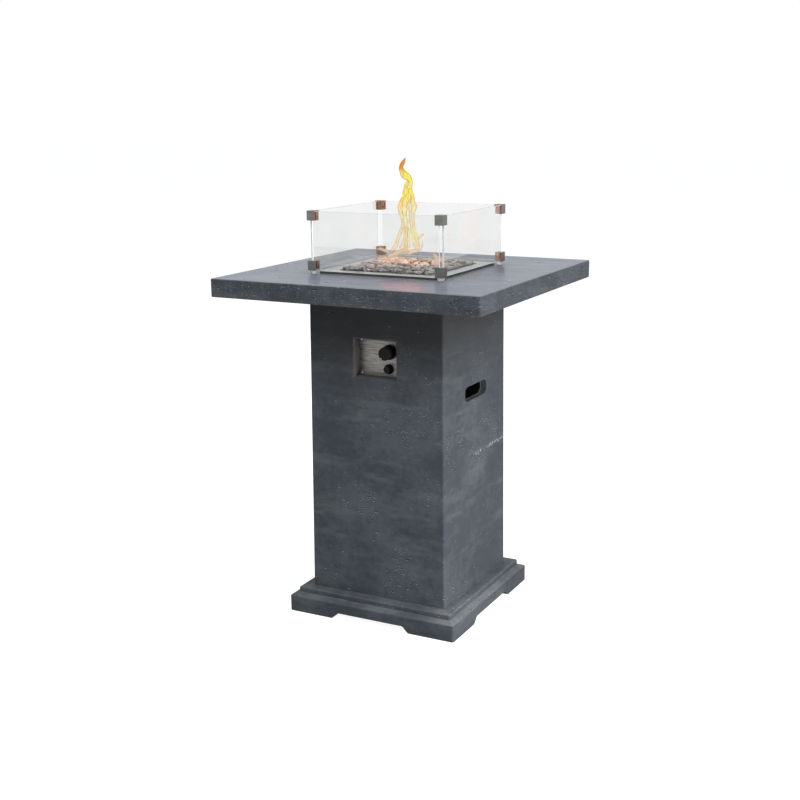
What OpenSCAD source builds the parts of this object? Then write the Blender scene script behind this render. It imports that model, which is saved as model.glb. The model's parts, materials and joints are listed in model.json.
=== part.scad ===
// Counter-height fire table: a square cast-stone top on a drafted column and stepped base,
// with a gas burner under lava rock, a glass wind guard and the gas cylinder in the column.
// Millimetres. +Z is up, the controls face -Y, and the origin is on the floor under the centre.

/* [Tabletop] */
// Width and depth of the square top
slab_w = 711; // [640:1:800]
// Thickness of the top
slab_t = 45; // [38:1:60]
// Height of the top's upper face above the floor
table_h = 876; // [860:1:960]
// Radius of the top's upright corners
slab_corner_r = 5; // [4:0.5:24]
// Radius along the top's long edges
slab_edge_r = 3; // [1.5:0.5:3.5]
// Width of the rim around the hollow underside
slab_rim = 32; // [24:1:60]
// Thickness of stone left over the hollow underside
slab_skin = 22; // [16:1:28]
// Solid margin around the head of the column
slab_seat = 12; // [6:1:30]

/* [Column] */
// Width of the column at its foot
col_foot_w = 377; // [372:1:395]
// Width of the column at its head
col_head_w = 367; // [362:1:390]
// Thickness of the column's walls
col_wall = 18; // [14:1:19]
// Radius of the column's upright corners
col_corner_r = 4.5; // [2:0.5:8]

/* [Base] */
// Width of the lower step
plinth_w = 468; // [440:1:520]
// Width of the upper step
step_w = 434; // [405:1:436]
// Height of the lower step at its outer edge
lower_h = 42.5; // [36:0.5:46]
// Height of the lower step where it meets the upper one
step_z = 48; // [46:0.5:54]
// Height of the whole base
plinth_h = 61.5; // [58:0.5:80]
// Radius of the base's upright corners
plinth_corner_r = 5; // [4.5:0.5:12]
// Radius along the base's upper edges
plinth_edge_r = 3.5; // [1:0.5:4]
// Thickness of the base's side walls
plinth_wall = 26; // [20:1:32]
// Thickness of the deck that the cylinder stands over
deck_t = 14; // [12:1:20]
// Diameter of the vent hole in the deck
vent_d = 90; // [60:1:100]
// Width of each arch between two feet, at the floor
arch_w = 224; // [160:1:280]
// Width of the curved end of an arch
arch_ramp = 22; // [10:1:40]
// Height of an arch
arch_h = 16; // [10:0.5:22]

/* [Side slots] */
// Distance of the slots' centre line below the top's upper face
slot_drop = 298; // [256:1:330]
// Offset of the slots towards the back
slot_y = 3; // [-20:1:20]
// Length of a slot
slot_l = 130; // [90:1:170]
// Height of a slot
slot_h = 38; // [32:1:50]
// Corner radius of a slot
slot_r = 15; // [6:0.5:16]

/* [Control recess] */
// Width of the recess
panel_w = 114; // [112:1:130]
// Height of the recess
panel_h = 93.4; // [93:0.2:100]
// Distance of the recess's centre below the top's upper face
panel_drop = 199.4; // [196:0.2:206]
// Depth of the control plate behind the column's face
recess_d = 30; // [28:0.5:36]
// Width of the ledge behind the plate
ledge_w = 7; // [6:0.5:7]
// Thickness of that ledge
ledge_t = 8; // [6:0.5:12]
// Stone left around the recess, inside the column
recess_frame = 16; // [10:1:20]
// Size of the bevel around the mouth of the recess
lip = 4; // [2:0.5:8]
// Thickness of the control plate
plate_t = 1.5; // [1:0.1:2]
// Knob's place across the plate
knob_x = 28.5; // [16:0.5:32]
// Knob's height above the recess's centre
knob_dz = 15.9; // [15:0.1:20]
// Igniter's place across the plate
igniter_x = 24; // [12:0.5:32]
// Igniter's height below the recess's centre
igniter_dz = 27.3; // [26:0.1:27.5]

/* [Gas valve] */
// Radius of the knob's skirt
knob_r = 18.5; // [16:0.5:19]
// Length of the knob
knob_l = 29; // [24:0.5:32]
// Travel of the knob when it is pushed
knob_push = 4; // [2:0.5:5]
// Angle of the pointer from upright, anticlockwise
knob_turn = 145; // [0:1:180]
// Radius of the valve stem
stem_r = 3; // [2.5:0.1:3.5]
// Radius of the valve plug
plug_r = 7; // [6:0.1:8]
// Radius of the valve housing
valve_r = 15; // [13:0.5:16]
// Length of the valve housing
valve_l = 46; // [42:1:52]
// Half the length between the valve's two gas ports
port_l = 30; // [26:1:34]
// Radius of the gas ports
port_r = 8; // [7:0.5:9]

/* [Igniter] */
// Radius of the igniter's threaded barrel
barrel_r = 10.2; // [10:0.1:10.4]
// Length of the barrel behind the plate
barrel_l = 60; // [58:1:70]
// Radius of the collar in front of the plate
collar_r = 12; // [11.5:0.5:15]
// Length of that collar
collar_l = 6; // [5:0.5:12]
// Radius of the push button
button_r = 9; // [8:0.1:9.2]
// How far the button stands out of the collar
button_out = 8; // [7:0.5:14]
// Travel of the button
button_push = 4; // [2:0.5:5]
// Radius of the battery
battery_r = 7.2; // [6:0.1:7.4]
// Length of the battery
battery_l = 49; // [44:0.5:50]

/* [Door] */
// Width of the doorway
door_open_w = 322; // [314:1:326]
// Height of the doorway's sill above the base
sill_h = 14; // [12:1:30]
// Height of the doorway
door_open_h = 490; // [482:1:500]
// Gap around the door
door_gap = 3; // [2:0.5:4]
// Length of a hinge
hinge_l = 60; // [50:1:80]
// Radius of a hinge knuckle
knuckle_r = 4; // [3.5:0.1:4.5]
// Radius of a hinge pin
pin_r = 2.2; // [1.8:0.1:2.4]
// Width of a hinge leaf
leaf_w = 21; // [17:0.5:22]
// Thickness of a hinge leaf
leaf_t = 2; // [1.5:0.1:2.5]
// Distance of each hinge from the doorway's sill or head
hinge_in = 80; // [60:1:120]
// Place of the door pull from the doorway's centre
pull_x = 132; // [100:1:140]
// Height of the door pull above the sill
pull_h = 260; // [150:1:330]

/* [Gas cylinder] */
// Diameter of the cylinder
tank_d = 310; // [290:1:312]
// Height of the cylinder with its collar
tank_h = 457; // [450:1:462]
// Height of the pressed shell
shell_h = 340; // [330:1:345]
// Height of each domed end
dome_h = 77; // [60:1:85]
// Thickness of the shell
shell_t = 3; // [2:0.1:4]
// Gap under the shell
tank_lift = 15; // [10:1:20]
// Outside radius of the foot ring and of the collar
ring_r = 104; // [96:1:110]
// Thickness of the foot ring and of the collar
ring_t = 3; // [2:0.1:4]
// Direction of the valve's outlet, from +X towards +Y
outlet_az = 135; // [130:1:140]
// Width of the collar's opening, in degrees
collar_open = 110; // [90:1:130]
// Radius of the handwheel
wheel_r = 31; // [26:1:36]

/* [Regulator] */
// Distance of the regulator from the cylinder's axis
reg_s = 106; // [104:0.5:108]
// Radius of the regulator
reg_r = 34; // [30:0.5:36]
// Outside radius of the gas hose
hose_r = 7; // [5:0.5:7.5]

/* [Burner] */
// Outside width of the burner pan
pan_w = 262; // [246:1:264]
// Depth of the pan below its flange
pan_d = 49.3; // [48:0.1:64]
// Thickness of the pan's sheet
pan_t = 1.2; // [0.8:0.1:2]
// Gap between the pan's flange and the guard's feet
flange_gap = 0.4; // [0.4:0.1:8]
// Height of the flange's folded edge
flange_h = 5.5; // [3:0.5:6]
// Gap between the pan and the hole in the top
pan_gap = 4; // [2:0.5:6]
// Radius of the burner ring at the middle of its tube
burner_r = 75; // [66:1:90]
// Radius of the burner's tube
tube_r = 8; // [6:0.5:9]
// Height of the burner's tube above the pan's floor
tube_z = 14; // [13:0.5:16]
// Number of gas ports around the ring
ports = 24; // [12:2:30]
// Radius of a gas port in the ring
port_hole_r = 1.5; // [1:0.1:2]
// Distance of the heat shield below the top's upper face
shield_drop = 124; // [120:1:128]
// Height of the heat shield's upturned edge
shield_lip = 18; // [14:1:22]
// Thickness of the heat shield
shield_t = 1.2; // [0.8:0.1:2]

/* [Lava rock] */
// Rocks along each side of the pan
rock_n = 8; // [6:1:9]
// Height of the hidden layers
rock_layer = 21.8; // [20:0.1:24]
// Least height of the rocks on show
rock_low = 9; // [6:1:14]
// Further height of the tallest rocks
rock_rise = 15; // [6:1:22]

/* [Wind guard] */
// Outside width of the guard over its corner brackets
guard_w = 368.8; // [350:0.2:390]
// Height of the guard's top above the table
guard_h = 154.2; // [120:0.2:220]
// Footprint of a corner bracket
bracket_w = 22; // [20:0.5:26]
// Height of a corner bracket
bracket_h = 24; // [20:0.5:30]
// Outer wall of a corner bracket
bracket_wall = 3; // [2:0.1:3.5]
// End wall that a pane stands on
bracket_end = 1.6; // [1:0.1:2.5]
// Thickness of a pane
glass_t = 5; // [4:0.1:6]
// Length of pane held inside a bracket
glass_in = 10; // [8:0.5:11]
// Height of a guard foot
foot_h = 8.4; // [6:0.2:14]
// Radius of a guard foot where it meets its bracket
foot_top_r = 9.5; // [8:0.1:10.5]
// Radius of a guard foot on the table
foot_low_r = 7; // [5:0.1:8]

/* [Fixings] */
// Leg of an angle bracket
angle_leg = 25; // [22:0.5:26]
// Thickness of an angle bracket
angle_t = 3; // [2:0.1:4]
// Length of an angle bracket
angle_l = 40; // [30:1:50]
// Distance of the angle brackets from the column's middle
angle_y = 118; // [105:1:125]
// Radius of a bolt
bolt_r = 3; // [2.5:0.1:3.5]
// Length of a bolt's shank
bolt_l = 13; // [10:0.5:14]
// Radius of a small screw
screw_r = 1.9; // [1.6:0.1:2.1]
// Length of a small screw's shank
screw_l = 10; // [8:0.5:11]
// Clearance between parts that don't move on each other
fit = 0.3; // [0.2:0.05:0.4]
// Radial clearance of a turning or sliding fit
run = 0.06; // [0.03:0.01:0.1]

/* [Hidden] */
$fn = 48;
corner_fn = 32;
stone = [0.27, 0.29, 0.32];
steel = [0.62, 0.63, 0.62];
dark_steel = [0.3, 0.3, 0.31];
brass = [0.78, 0.63, 0.33];
black = [0.06, 0.06, 0.07];
enamel = [0.88, 0.89, 0.88];
// How far a cut runs past a face, and the height of the rims that a sloped block is stretched over
past = 1;
skin = 0.01;

// Heights that the rest is stacked on
slab_z = table_h - slab_t;
col_h = slab_z - plinth_h;
draft = atan((col_foot_w - col_head_w) / 2 / col_h);
function col_half(z) = (col_foot_w + (col_head_w - col_foot_w) * (z - plinth_h) / col_h) / 2;
function bay_half(z) = col_half(z) - col_wall;

// Solid helpers

// Upright block with rounded corners whose sides lean from w0 at z0 to w1 at z1
module post(w0, w1, z0, z1, r) {
    hull() for (end = [[w0, z0], [w1, z1 - skin]], sx = [-1, 1], sy = [-1, 1])
        translate([sx * (end[0] / 2 - r), sy * (end[0] / 2 - r), end[1]])
            cylinder(h = skin, r = r, $fn = corner_fn);
}

// Round puck with its upper edge, and its lower edge if asked, turned over at radius e
module puck(r, h, e, low_e) {
    steps = 4;
    high_arc = [for (i = [0 : steps]) [r - e + e * cos(90 * i / steps), h - e + e * sin(90 * i / steps)]];
    low_arc = [for (i = [0 : steps]) let (a = 90 * i / steps) [r - low_e + low_e * sin(a), low_e - low_e * cos(a)]];
    rotate_extrude($fn = corner_fn)
        polygon(concat([[0, 0]], low_e > 0 ? low_arc : [[r, 0]], high_arc, [[0, h]]));
}

// Flat outline of a w by d rectangle with corners of radius r
module rounded_rect(w, d, r) {
    square([w - 2 * r, d], center = true);
    square([w, d - 2 * r], center = true);
    for (sx = [-1, 1], sy = [-1, 1]) translate([sx * (w / 2 - r), sy * (d / 2 - r)]) circle(r = r);
}

// Square frustum along +Z
module square_flare(w0, d0, w1, d1, h) {
    hull() {
        translate([-w0 / 2, -d0 / 2, 0]) cube([w0, d0, skin]);
        translate([-w1 / 2, -d1 / 2, h - skin]) cube([w1, d1, skin]);
    }
}

// Copies at the four corners of a rectangle, turned so that each is the first one mirrored
module at_corners(x, y) {
    for (sx = [0, 1], sy = [0, 1]) mirror([sx, 0, 0]) mirror([0, sy, 0]) translate([x, y, 0]) children();
}

// Small pan-head screw: its head stands on z = 0 and its shank points down
head_r = 3.6;
head_h = 2.2;
module screw() {
    slot_w = 0.9;
    difference() {
        union() {
            translate([0, 0, -screw_l]) cylinder(h = screw_l + past, r = screw_r);
            rotate_extrude()
                polygon([[0, 0], [head_r, 0], [head_r, head_h / 2], [head_r * 0.7, head_h], [0, head_h]]);
        }
        for (a = [0, 90]) rotate([0, 0, a]) translate([-head_r * 0.6, -slot_w / 2, head_h / 2])
            cube([head_r * 1.2, slot_w, head_h]);
    }
}
module screw_hole() {
    translate([0, 0, -screw_l - fit]) cylinder(h = screw_l + fit + past, r = screw_r + run);
}

// Hexagon bolt with a washer face on z = 0 and its shank pointing down
module bolt() {
    washer_t = 1;
    head_t = bolt_r * 1.6;
    translate([0, 0, -bolt_l]) cylinder(h = bolt_l + washer_t, r = bolt_r);
    cylinder(h = washer_t, r = bolt_r * 1.9);
    cylinder(h = head_t, r = bolt_r * 1.8, $fn = 6);
}
module bolt_hole() {
    translate([0, 0, -bolt_l - fit]) cylinder(h = bolt_l + fit + past, r = bolt_r + run);
}

// Round tube along a route, as rings of corners carried from point to point
function unit(v) = v / norm(v);
function curve_point(a, b, c, d, t) =
    (2 * b + (c - a) * t + (2 * a - 5 * b + 4 * c - d) * t * t + (3 * b - a - 3 * c + d) * t * t * t) / 2;
function smooth(p, steps) = concat(
    [for (i = [0 : len(p) - 2], k = [0 : steps - 1])
        curve_point(p[max(i - 1, 0)], p[i], p[i + 1], p[min(i + 2, len(p) - 1)], k / steps)],
    [p[len(p) - 1]]);
function heading(p, i) = unit(p[min(i + 1, len(p) - 1)] - p[max(i - 1, 0)]);
function square_to(n, t) = unit(n - (n * t) * t);
function side_ways(p, n, i = 0) = i == len(p) ? [] :
    let (m = square_to(n, heading(p, i))) concat([m], side_ways(p, m, i + 1));
module swept_tube(p, r, sides, n) {
    m = side_ways(p, n);
    last = len(p) - 1;
    corners = [for (i = [0 : last], k = [0 : sides - 1])
        let (a = 360 * k / sides) p[i] + r * (cos(a) * m[i] + sin(a) * cross(heading(p, i), m[i]))];
    walls = [for (i = [0 : last - 1], k = [0 : sides - 1], half = [0, 1])
        let (a = i * sides + k, b = i * sides + (k + 1) % sides)
        half == 0 ? [a, a + sides, b + sides] : [a, b + sides, b]];
    ends = [[for (k = [0 : sides - 1]) k], [for (k = [sides - 1 : -1 : 0]) last * sides + k]];
    polyhedron(points = corners, faces = concat(walls, ends), convexity = 6);
}

// Stone body

pan_hole_w = pan_w + 2 * pan_gap;
seat_w = col_head_w + 2 * slab_seat;
hollow_w = slab_w - 2 * slab_rim;

module table_slab() {
    color(stone) difference() {
        translate([0, 0, slab_z]) hull() at_corners(slab_w / 2 - slab_corner_r, slab_w / 2 - slab_corner_r)
            puck(slab_corner_r, slab_t, slab_edge_r, slab_edge_r * 0.6);
        translate([0, 0, slab_z - past]) difference() {
            linear_extrude(slab_t - slab_skin + past) square(hollow_w, center = true);
            linear_extrude(slab_t) square(seat_w, center = true);
        }
        translate([0, 0, slab_z - past]) linear_extrude(slab_t + 2 * past) square(pan_hole_w, center = true);
        at_slab_bolts() bolt_hole();
    }
}

module column() {
    color(stone) difference() {
        union() {
            difference() {
                post(col_foot_w, col_head_w, plinth_h, slab_z, col_corner_r);
                bay();
            }
            recess_boss();
        }
        recess_cut();
        side_slots();
        doorway(0);
        at_wall_bolts() bolt_hole();
        at_plate_screws() screw_hole();
        at_frame_hinge_screws() screw_hole();
        at_catch_screws() screw_hole();
        at_clip_screws() screw_hole();
        at_shield_screws() screw_hole();
    }
}

// Space inside the column's walls, run past both ends
module bay() {
    lean = 2 * past * tan(draft);
    translate([0, 0, plinth_h - past]) square_flare(
        2 * bay_half(plinth_h) + lean, 2 * bay_half(plinth_h) + lean,
        2 * bay_half(slab_z) - lean, 2 * bay_half(slab_z) - lean, col_h + 2 * past);
}

panel_z = table_h - panel_drop;
slot_z = table_h - slot_drop;
face_y = col_half(panel_z);
plate_y = -face_y + recess_d;
frame_in_y = plate_y + ledge_t;
plate_back = plate_y - fit / 3;
plate_front = plate_back - plate_t;
port_depth = 31;

module recess_boss() {
    w = panel_w + 2 * recess_frame;
    h = panel_h + 2 * recess_frame;
    translate([-w / 2, -face_y + col_wall / 2, panel_z - h / 2])
        cube([w, frame_in_y + face_y - col_wall / 2, h]);
}

module recess_cut() {
    out = 10;
    translate([-panel_w / 2, -face_y - out, panel_z - panel_h / 2]) cube([panel_w, recess_d + out, panel_h]);
    translate([-panel_w / 2 + ledge_w, plate_y - past, panel_z - panel_h / 2 + ledge_w])
        cube([panel_w - 2 * ledge_w, ledge_t + 2 * past, panel_h - 2 * ledge_w]);
    translate([0, -face_y + lip, panel_z]) rotate([90, 0, 0])
        square_flare(panel_w, panel_h, panel_w + 2 * (lip + past), panel_h + 2 * (lip + past), lip + past);
}

module side_slots() {
    l = col_foot_w + 2 * past;
    translate([-l / 2, slot_y, slot_z]) rotate([90, 0, 90])
        linear_extrude(l) rounded_rect(slot_l, slot_h, slot_r);
}

door_z = plinth_h + sill_h;
// Block that fills the doorway, drawn in all round by gap
module doorway(gap) {
    w = door_open_w - 2 * gap;
    from_y = tank_d / 3;
    translate([-w / 2, from_y, door_z + gap])
        cube([w, col_foot_w / 2 - from_y + past, door_open_h - 2 * gap]);
}

// Outline of an arch: flat in the middle, eased down to the floor at its end
module arch_outline() {
    steps = 8;
    side = [for (i = [0 : steps]) let (t = i / steps)
        [arch_w / 2 - arch_ramp * t, arch_h * (1 - cos(180 * t)) / 2]];
    mirrored = [for (i = [steps : -1 : 0]) [-side[i][0], side[i][1]]];
    polygon(concat([[arch_w / 2, -past]], side, mirrored, [[-arch_w / 2, -past]]));
}

module plinth() {
    inside = plinth_w - 2 * plinth_wall;
    low_x = plinth_w / 2 - plinth_corner_r;
    high_x = step_w / 2 - plinth_corner_r;
    color(stone) difference() {
        union() {
            hull() {
                at_corners(low_x, low_x) puck(plinth_corner_r, lower_h, plinth_edge_r, 0);
                translate([0, 0, step_z - past]) linear_extrude(past) square(step_w, center = true);
            }
            translate([0, 0, lower_h - past]) hull() at_corners(high_x, high_x)
                puck(plinth_corner_r, plinth_h - lower_h + past, plinth_edge_r, 0);
        }
        translate([-inside / 2, -inside / 2, -past]) cube([inside, inside, plinth_h - deck_t + past]);
        for (a = [0, 90]) rotate([90, 0, a]) translate([0, 0, -plinth_w / 2 - past])
            linear_extrude(plinth_w + 2 * past) arch_outline();
        cylinder(h = plinth_h + past, d = vent_d);
        at_deck_bolts() bolt_hole();
        at_tray_screws() screw_hole();
    }
}

// Angle brackets and bolts

hole_in = angle_leg * 0.6;
low_wall_x = bay_half(plinth_h + angle_leg) - 0.1;
high_wall_x = bay_half(slab_z) - 0.1;

module angle_bracket() {
    difference() {
        union() {
            translate([-angle_t, -angle_l / 2, 0]) cube([angle_t, angle_l, angle_leg]);
            translate([-angle_leg, -angle_l / 2, 0]) cube([angle_leg, angle_l, angle_t]);
        }
        translate([-hole_in, -angle_l / 4, angle_t]) bolt_hole();
        translate([-angle_t, angle_l / 4, hole_in]) rotate([0, -90, 0]) bolt_hole();
    }
}

// Places of the lower and of the upper brackets, with the wall on +X and the shelf on -Z
module at_low_brackets() {
    for (sx = [0, 1], sy = [0, 1]) mirror([sx, 0, 0]) mirror([0, sy, 0])
        translate([low_wall_x, angle_y, plinth_h]) children();
}
module at_high_brackets() {
    for (sx = [0, 1], sy = [0, 1]) mirror([sx, 0, 0]) mirror([0, sy, 0])
        translate([high_wall_x, angle_y, slab_z]) mirror([0, 0, 1]) children();
}
module at_shelf_hole() {
    translate([-hole_in, -angle_l / 4, angle_t]) children();
}
module at_wall_hole() {
    translate([-angle_t, angle_l / 4, hole_in]) rotate([0, -90, 0]) children();
}
module at_deck_bolts() {
    at_low_brackets() at_shelf_hole() children();
}
module at_slab_bolts() {
    at_high_brackets() at_shelf_hole() children();
}
module at_wall_bolts() {
    at_low_brackets() at_wall_hole() children();
    at_high_brackets() at_wall_hole() children();
}
module angle_brackets() {
    color(dark_steel) {
        at_low_brackets() angle_bracket();
        at_high_brackets() angle_bracket();
    }
}
module frame_bolts() {
    color(steel) {
        at_deck_bolts() bolt();
        at_slab_bolts() bolt();
        at_wall_bolts() bolt();
    }
}

// Rear door

// Frame that lies on the column's back face at height z, with +Y out of the face
module on_back(x, z) {
    translate([x, col_half(z), z]) rotate([draft, 0, 0]) children();
}
hinge_x = -(door_open_w - door_gap) / 2;
hinge_z = [door_z + hinge_in, door_z + door_open_h - hinge_in];
axis_out = knuckle_r + fit;
knuckle_l = (hinge_l - 4 * fit) / 3;
leaf_screws = [0.2, 0.8];
leaf_screw_x = leaf_w - head_r - 1.5;

module at_hinges() {
    for (z = hinge_z) on_back(hinge_x, z) children();
}
module hinge_plate(side) {
    from_x = side > 0 ? door_gap / 2 : -leaf_w;
    difference() {
        translate([from_x, 0, -hinge_l / 2]) cube([leaf_w - door_gap / 2, leaf_t, hinge_l]);
        for (s = leaf_screws) translate([side * leaf_screw_x, leaf_t, hinge_l * (s - 0.5)])
            rotate([-90, 0, 0]) screw_hole();
    }
}
module knuckle(z, side) {
    web = knuckle_r + fit;
    difference() {
        union() {
            translate([0, axis_out, z - knuckle_l / 2]) cylinder(h = knuckle_l, r = knuckle_r);
            translate([side > 0 ? 0 : -web, 0, z - knuckle_l / 2]) cube([web, leaf_t, knuckle_l]);
        }
        translate([0, axis_out, z - knuckle_l]) cylinder(h = 2 * knuckle_l, r = pin_r + run);
    }
}
// Block round a knuckle that the other leaf's plate leaves free
module knuckle_room(z) {
    translate([-knuckle_r - 2 * fit, -past, z - knuckle_l / 2 - fit])
        cube([2 * knuckle_r + 4 * fit, leaf_t + 2 * past, knuckle_l + 2 * fit]);
}
knuckle_z = [-knuckle_l - fit, 0, knuckle_l + fit];

module hinge_frame_leaves() {
    color(steel) at_hinges() {
        difference() {
            hinge_plate(-1);
            knuckle_room(knuckle_z[1]);
        }
        knuckle(knuckle_z[0], -1);
        knuckle(knuckle_z[2], -1);
    }
}
module hinge_door_leaves() {
    color(steel) at_hinges() {
        difference() {
            hinge_plate(1);
            knuckle_room(knuckle_z[0]);
            knuckle_room(knuckle_z[2]);
        }
        knuckle(knuckle_z[1], 1);
    }
}
module hinge_pins() {
    cap_h = 1.5;
    color(steel) at_hinges() translate([0, axis_out, -hinge_l / 2]) {
        cylinder(h = hinge_l, r = pin_r);
        translate([0, 0, hinge_l]) cylinder(h = cap_h, r = pin_r * 1.6);
    }
}
module at_frame_hinge_screws() {
    at_hinges() for (s = leaf_screws) translate([-leaf_screw_x, leaf_t, hinge_l * (s - 0.5)])
        rotate([-90, 0, 0]) children();
}
module at_door_hinge_screws() {
    at_hinges() for (s = leaf_screws) translate([leaf_screw_x, leaf_t, hinge_l * (s - 0.5)])
        rotate([-90, 0, 0]) children();
}

pull_r = 12;
pull_l = 24;
pull_foot_r = 7;
pull_neck_r = 4.5;
pull_thread = pull_l / 2;
module door_panel() {
    color(stone) difference() {
        intersection() {
            post(col_foot_w, col_head_w, plinth_h, slab_z, col_corner_r);
            doorway(door_gap);
        }
        bay();
        at_door_hinge_screws() screw_hole();
        at_pull() translate([0, 0, -col_wall - past]) cylinder(h = col_wall + 2 * past, r = screw_r + run);
        at_strike_screw() screw_hole();
    }
}
// The pull's place, with +Z out of the door's face
module at_pull() {
    on_back(pull_x, door_z + pull_h) rotate([-90, 0, 0]) children();
}
module door_pull() {
    color(dark_steel) at_pull() difference() {
        rotate_extrude() polygon([
            [0, 0], [pull_foot_r, 0], [pull_foot_r, 2], [pull_neck_r, 5], [pull_neck_r, pull_l * 0.45],
            [pull_r - 1, pull_l - 8], [pull_r, pull_l - 6], [pull_r, pull_l - 2], [pull_r - 2, pull_l],
            [0, pull_l]]);
        translate([0, 0, -past]) cylinder(h = pull_thread + past, r = screw_r + run);
    }
}
// Long screw that holds the pull from inside the door
module pull_screw() {
    color(steel) at_pull() {
        translate([0, 0, -col_wall - past]) cylinder(h = col_wall + past + pull_thread - fit, r = screw_r);
        translate([0, 0, -col_wall - head_h]) cylinder(h = head_h, r = head_r);
    }
}

// Magnet catch at the head of the door

catch_z = door_z + door_open_h - 32;
catch_size = [24, 14, 40];
catch_top = catch_z + catch_size[2] / 2;
catch_screw_in = 11;
catch_seat = 3;
strike_t = 1.5;
strike_w = 16;
strike_high = 15;
strike_screw_z = -catch_size[2] / 2 - head_r - 2;
strike_low = -strike_screw_z + head_r + 2;
strike_x = door_open_w / 2 - door_gap - strike_w / 2 - 1;
catch_x = bay_half(catch_top) - fit / 3;
catch_y = bay_half(catch_top) - strike_t - fit;

module at_catch_screws() {
    y = catch_y - catch_size[1] / 2;
    for (s = [-1, 1]) translate([catch_x - catch_seat, y, catch_z + s * catch_screw_in])
        rotate([0, -90, 0]) children();
}
module magnet_catch() {
    color(black) difference() {
        translate([catch_x, catch_y, catch_top] - catch_size) cube(catch_size);
        at_catch_screws() {
            screw_hole();
            cylinder(h = catch_size[0], r = head_r + fit);
        }
    }
}
module on_door_inside(x, z) {
    translate([x, bay_half(z), z]) rotate([draft, 0, 0]) children();
}
// Below the catch, so that its head stays clear of the magnet
module at_strike_screw() {
    on_door_inside(strike_x, catch_z) translate([0, -strike_t, strike_screw_z]) rotate([90, 0, 0]) children();
}
module strike_plate() {
    color(steel) difference() {
        on_door_inside(strike_x, catch_z) translate([-strike_w / 2, -strike_t, -strike_low])
            cube([strike_w, strike_t, strike_low + strike_high]);
        at_strike_screw() screw_hole();
    }
}

// Steel tray that locates the cylinder

tray_w = 280;
tray_t = 1.5;
tray_lip = 10;
tray_ring_h = 8;
tray_screw_x = tray_w / 2 - 14;
tank_z = plinth_h + tray_t;

module at_tray_screws() {
    for (sx = [-1, 1], sy = [-1, 1]) translate([sx * tray_screw_x, sy * tray_screw_x, tank_z]) children();
}
module tank_tray() {
    vent_r = 10;
    vents = 8;
    color(dark_steel) difference() {
        union() {
            translate([0, 0, plinth_h]) linear_extrude(tray_lip) square(tray_w, center = true);
            ring_band(ring_r + 2 * fit, tray_t, plinth_h, tray_t + tray_ring_h);
        }
        difference() {
            translate([0, 0, tank_z]) linear_extrude(tray_lip) square(tray_w - 2 * tray_t, center = true);
            ring_band(ring_r + 2 * fit, tray_t, plinth_h, tray_t + tray_ring_h);
        }
        for (i = [0 : vents - 1]) rotate([0, 0, 360 * i / vents])
            translate([vent_d / 2 + 14, 0, plinth_h - past])
            cylinder(h = tray_lip, r = vent_r);
        translate([0, 0, plinth_h - past]) cylinder(h = tray_lip, d = vent_d * 0.8);
        at_tray_screws() screw_hole();
    }
}
// Round band of inside radius r and thickness t, from z up by h
module ring_band(r, t, z, h) {
    translate([0, 0, z]) rotate_extrude($fn = 96) translate([r, 0]) square([t, h]);
}

// Gas cylinder

tank_r = tank_d / 2;
shell_z = tank_z + tank_lift;
crown_z = shell_z + shell_h;
neck_r = 13;
function dome_drop(r) = dome_h * (1 - sqrt(1 - pow(r / tank_r, 2)));

module cylinder_shell() {
    steps = 10;
    belt = 9;
    stop = acos(neck_r / tank_r);
    stop_in = acos(neck_r / (tank_r - shell_t));
    outer = concat(
        [for (i = [0 : steps]) [tank_r * sin(90 * i / steps), dome_h * (1 - cos(90 * i / steps))]],
        [[tank_r, shell_h / 2 - belt], [tank_r + 1, shell_h / 2 - belt + 1]],
        [[tank_r + 1, shell_h / 2 + belt - 1], [tank_r, shell_h / 2 + belt]],
        [for (i = [0 : steps]) let (a = stop * i / steps) [tank_r * cos(a), shell_h - dome_h * (1 - sin(a))]]);
    r = tank_r - shell_t;
    h = dome_h - shell_t;
    inner = concat(
        [for (i = [0 : steps]) let (a = stop_in * (1 - i / steps))
            [r * cos(a), shell_h - dome_h + h * sin(a)]],
        [for (i = [0 : steps]) [r * cos(90 * i / steps), dome_h - h * sin(90 * i / steps)]]);
    color(enamel) translate([0, 0, shell_z]) rotate_extrude($fn = 96) polygon(concat(outer, inner));
}

module cylinder_foot_ring() {
    ring_h = tank_lift + dome_drop(ring_r - ring_t) - fit / 3;
    color(enamel) ring_band(ring_r - ring_t, ring_t, tank_z, ring_h);
}

roll_r = 4;
collar_in = ring_r - ring_t - roll_r;
collar_z = crown_z - dome_drop(collar_in) + fit / 3;
collar_top = tank_z + tank_h;
module cylinder_collar() {
    grip_l = 95;
    grip_h = 32;
    grip_drop = 42;
    grip_turn = 72;
    color(enamel) difference() {
        rotate([0, 0, outlet_az + collar_open / 2]) rotate_extrude(angle = 360 - collar_open, $fn = 96) {
            translate([collar_in, collar_z]) square([ring_t, collar_top - roll_r - collar_z]);
            translate([collar_in + ring_t / 2, collar_top - roll_r]) circle(r = roll_r);
        }
        for (s = [-1, 1]) rotate([0, 0, outlet_az + 180 + s * grip_turn])
            translate([0, 0, collar_top - grip_drop])
            rotate([90, 0, 90]) linear_extrude(tank_r) rounded_rect(grip_l, grip_h, grip_h / 2 - past);
    }
}

// Frame at the cylinder valve's outlet, with +X along the outlet
outlet_z = crown_z + 32;
module at_outlet() {
    translate([0, 0, outlet_z]) rotate([0, 0, outlet_az]) children();
}
module along_x(s, l, r) {
    translate([s, 0, 0]) rotate([0, 90, 0]) cylinder(h = l, r = r);
}
outlet_r = 16.5;
outlet_s = 50;
outlet_bore = 8;
spindle_r = 4;
spindle_z = crown_z + 43;
stub_in = 8;
body_r = 17;
bonnet_z = crown_z + 52;
bonnet_top = crown_z + 64;
relief_s = 29;
wheel_z = crown_z + 74;
wheel_bore = 13;

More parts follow.
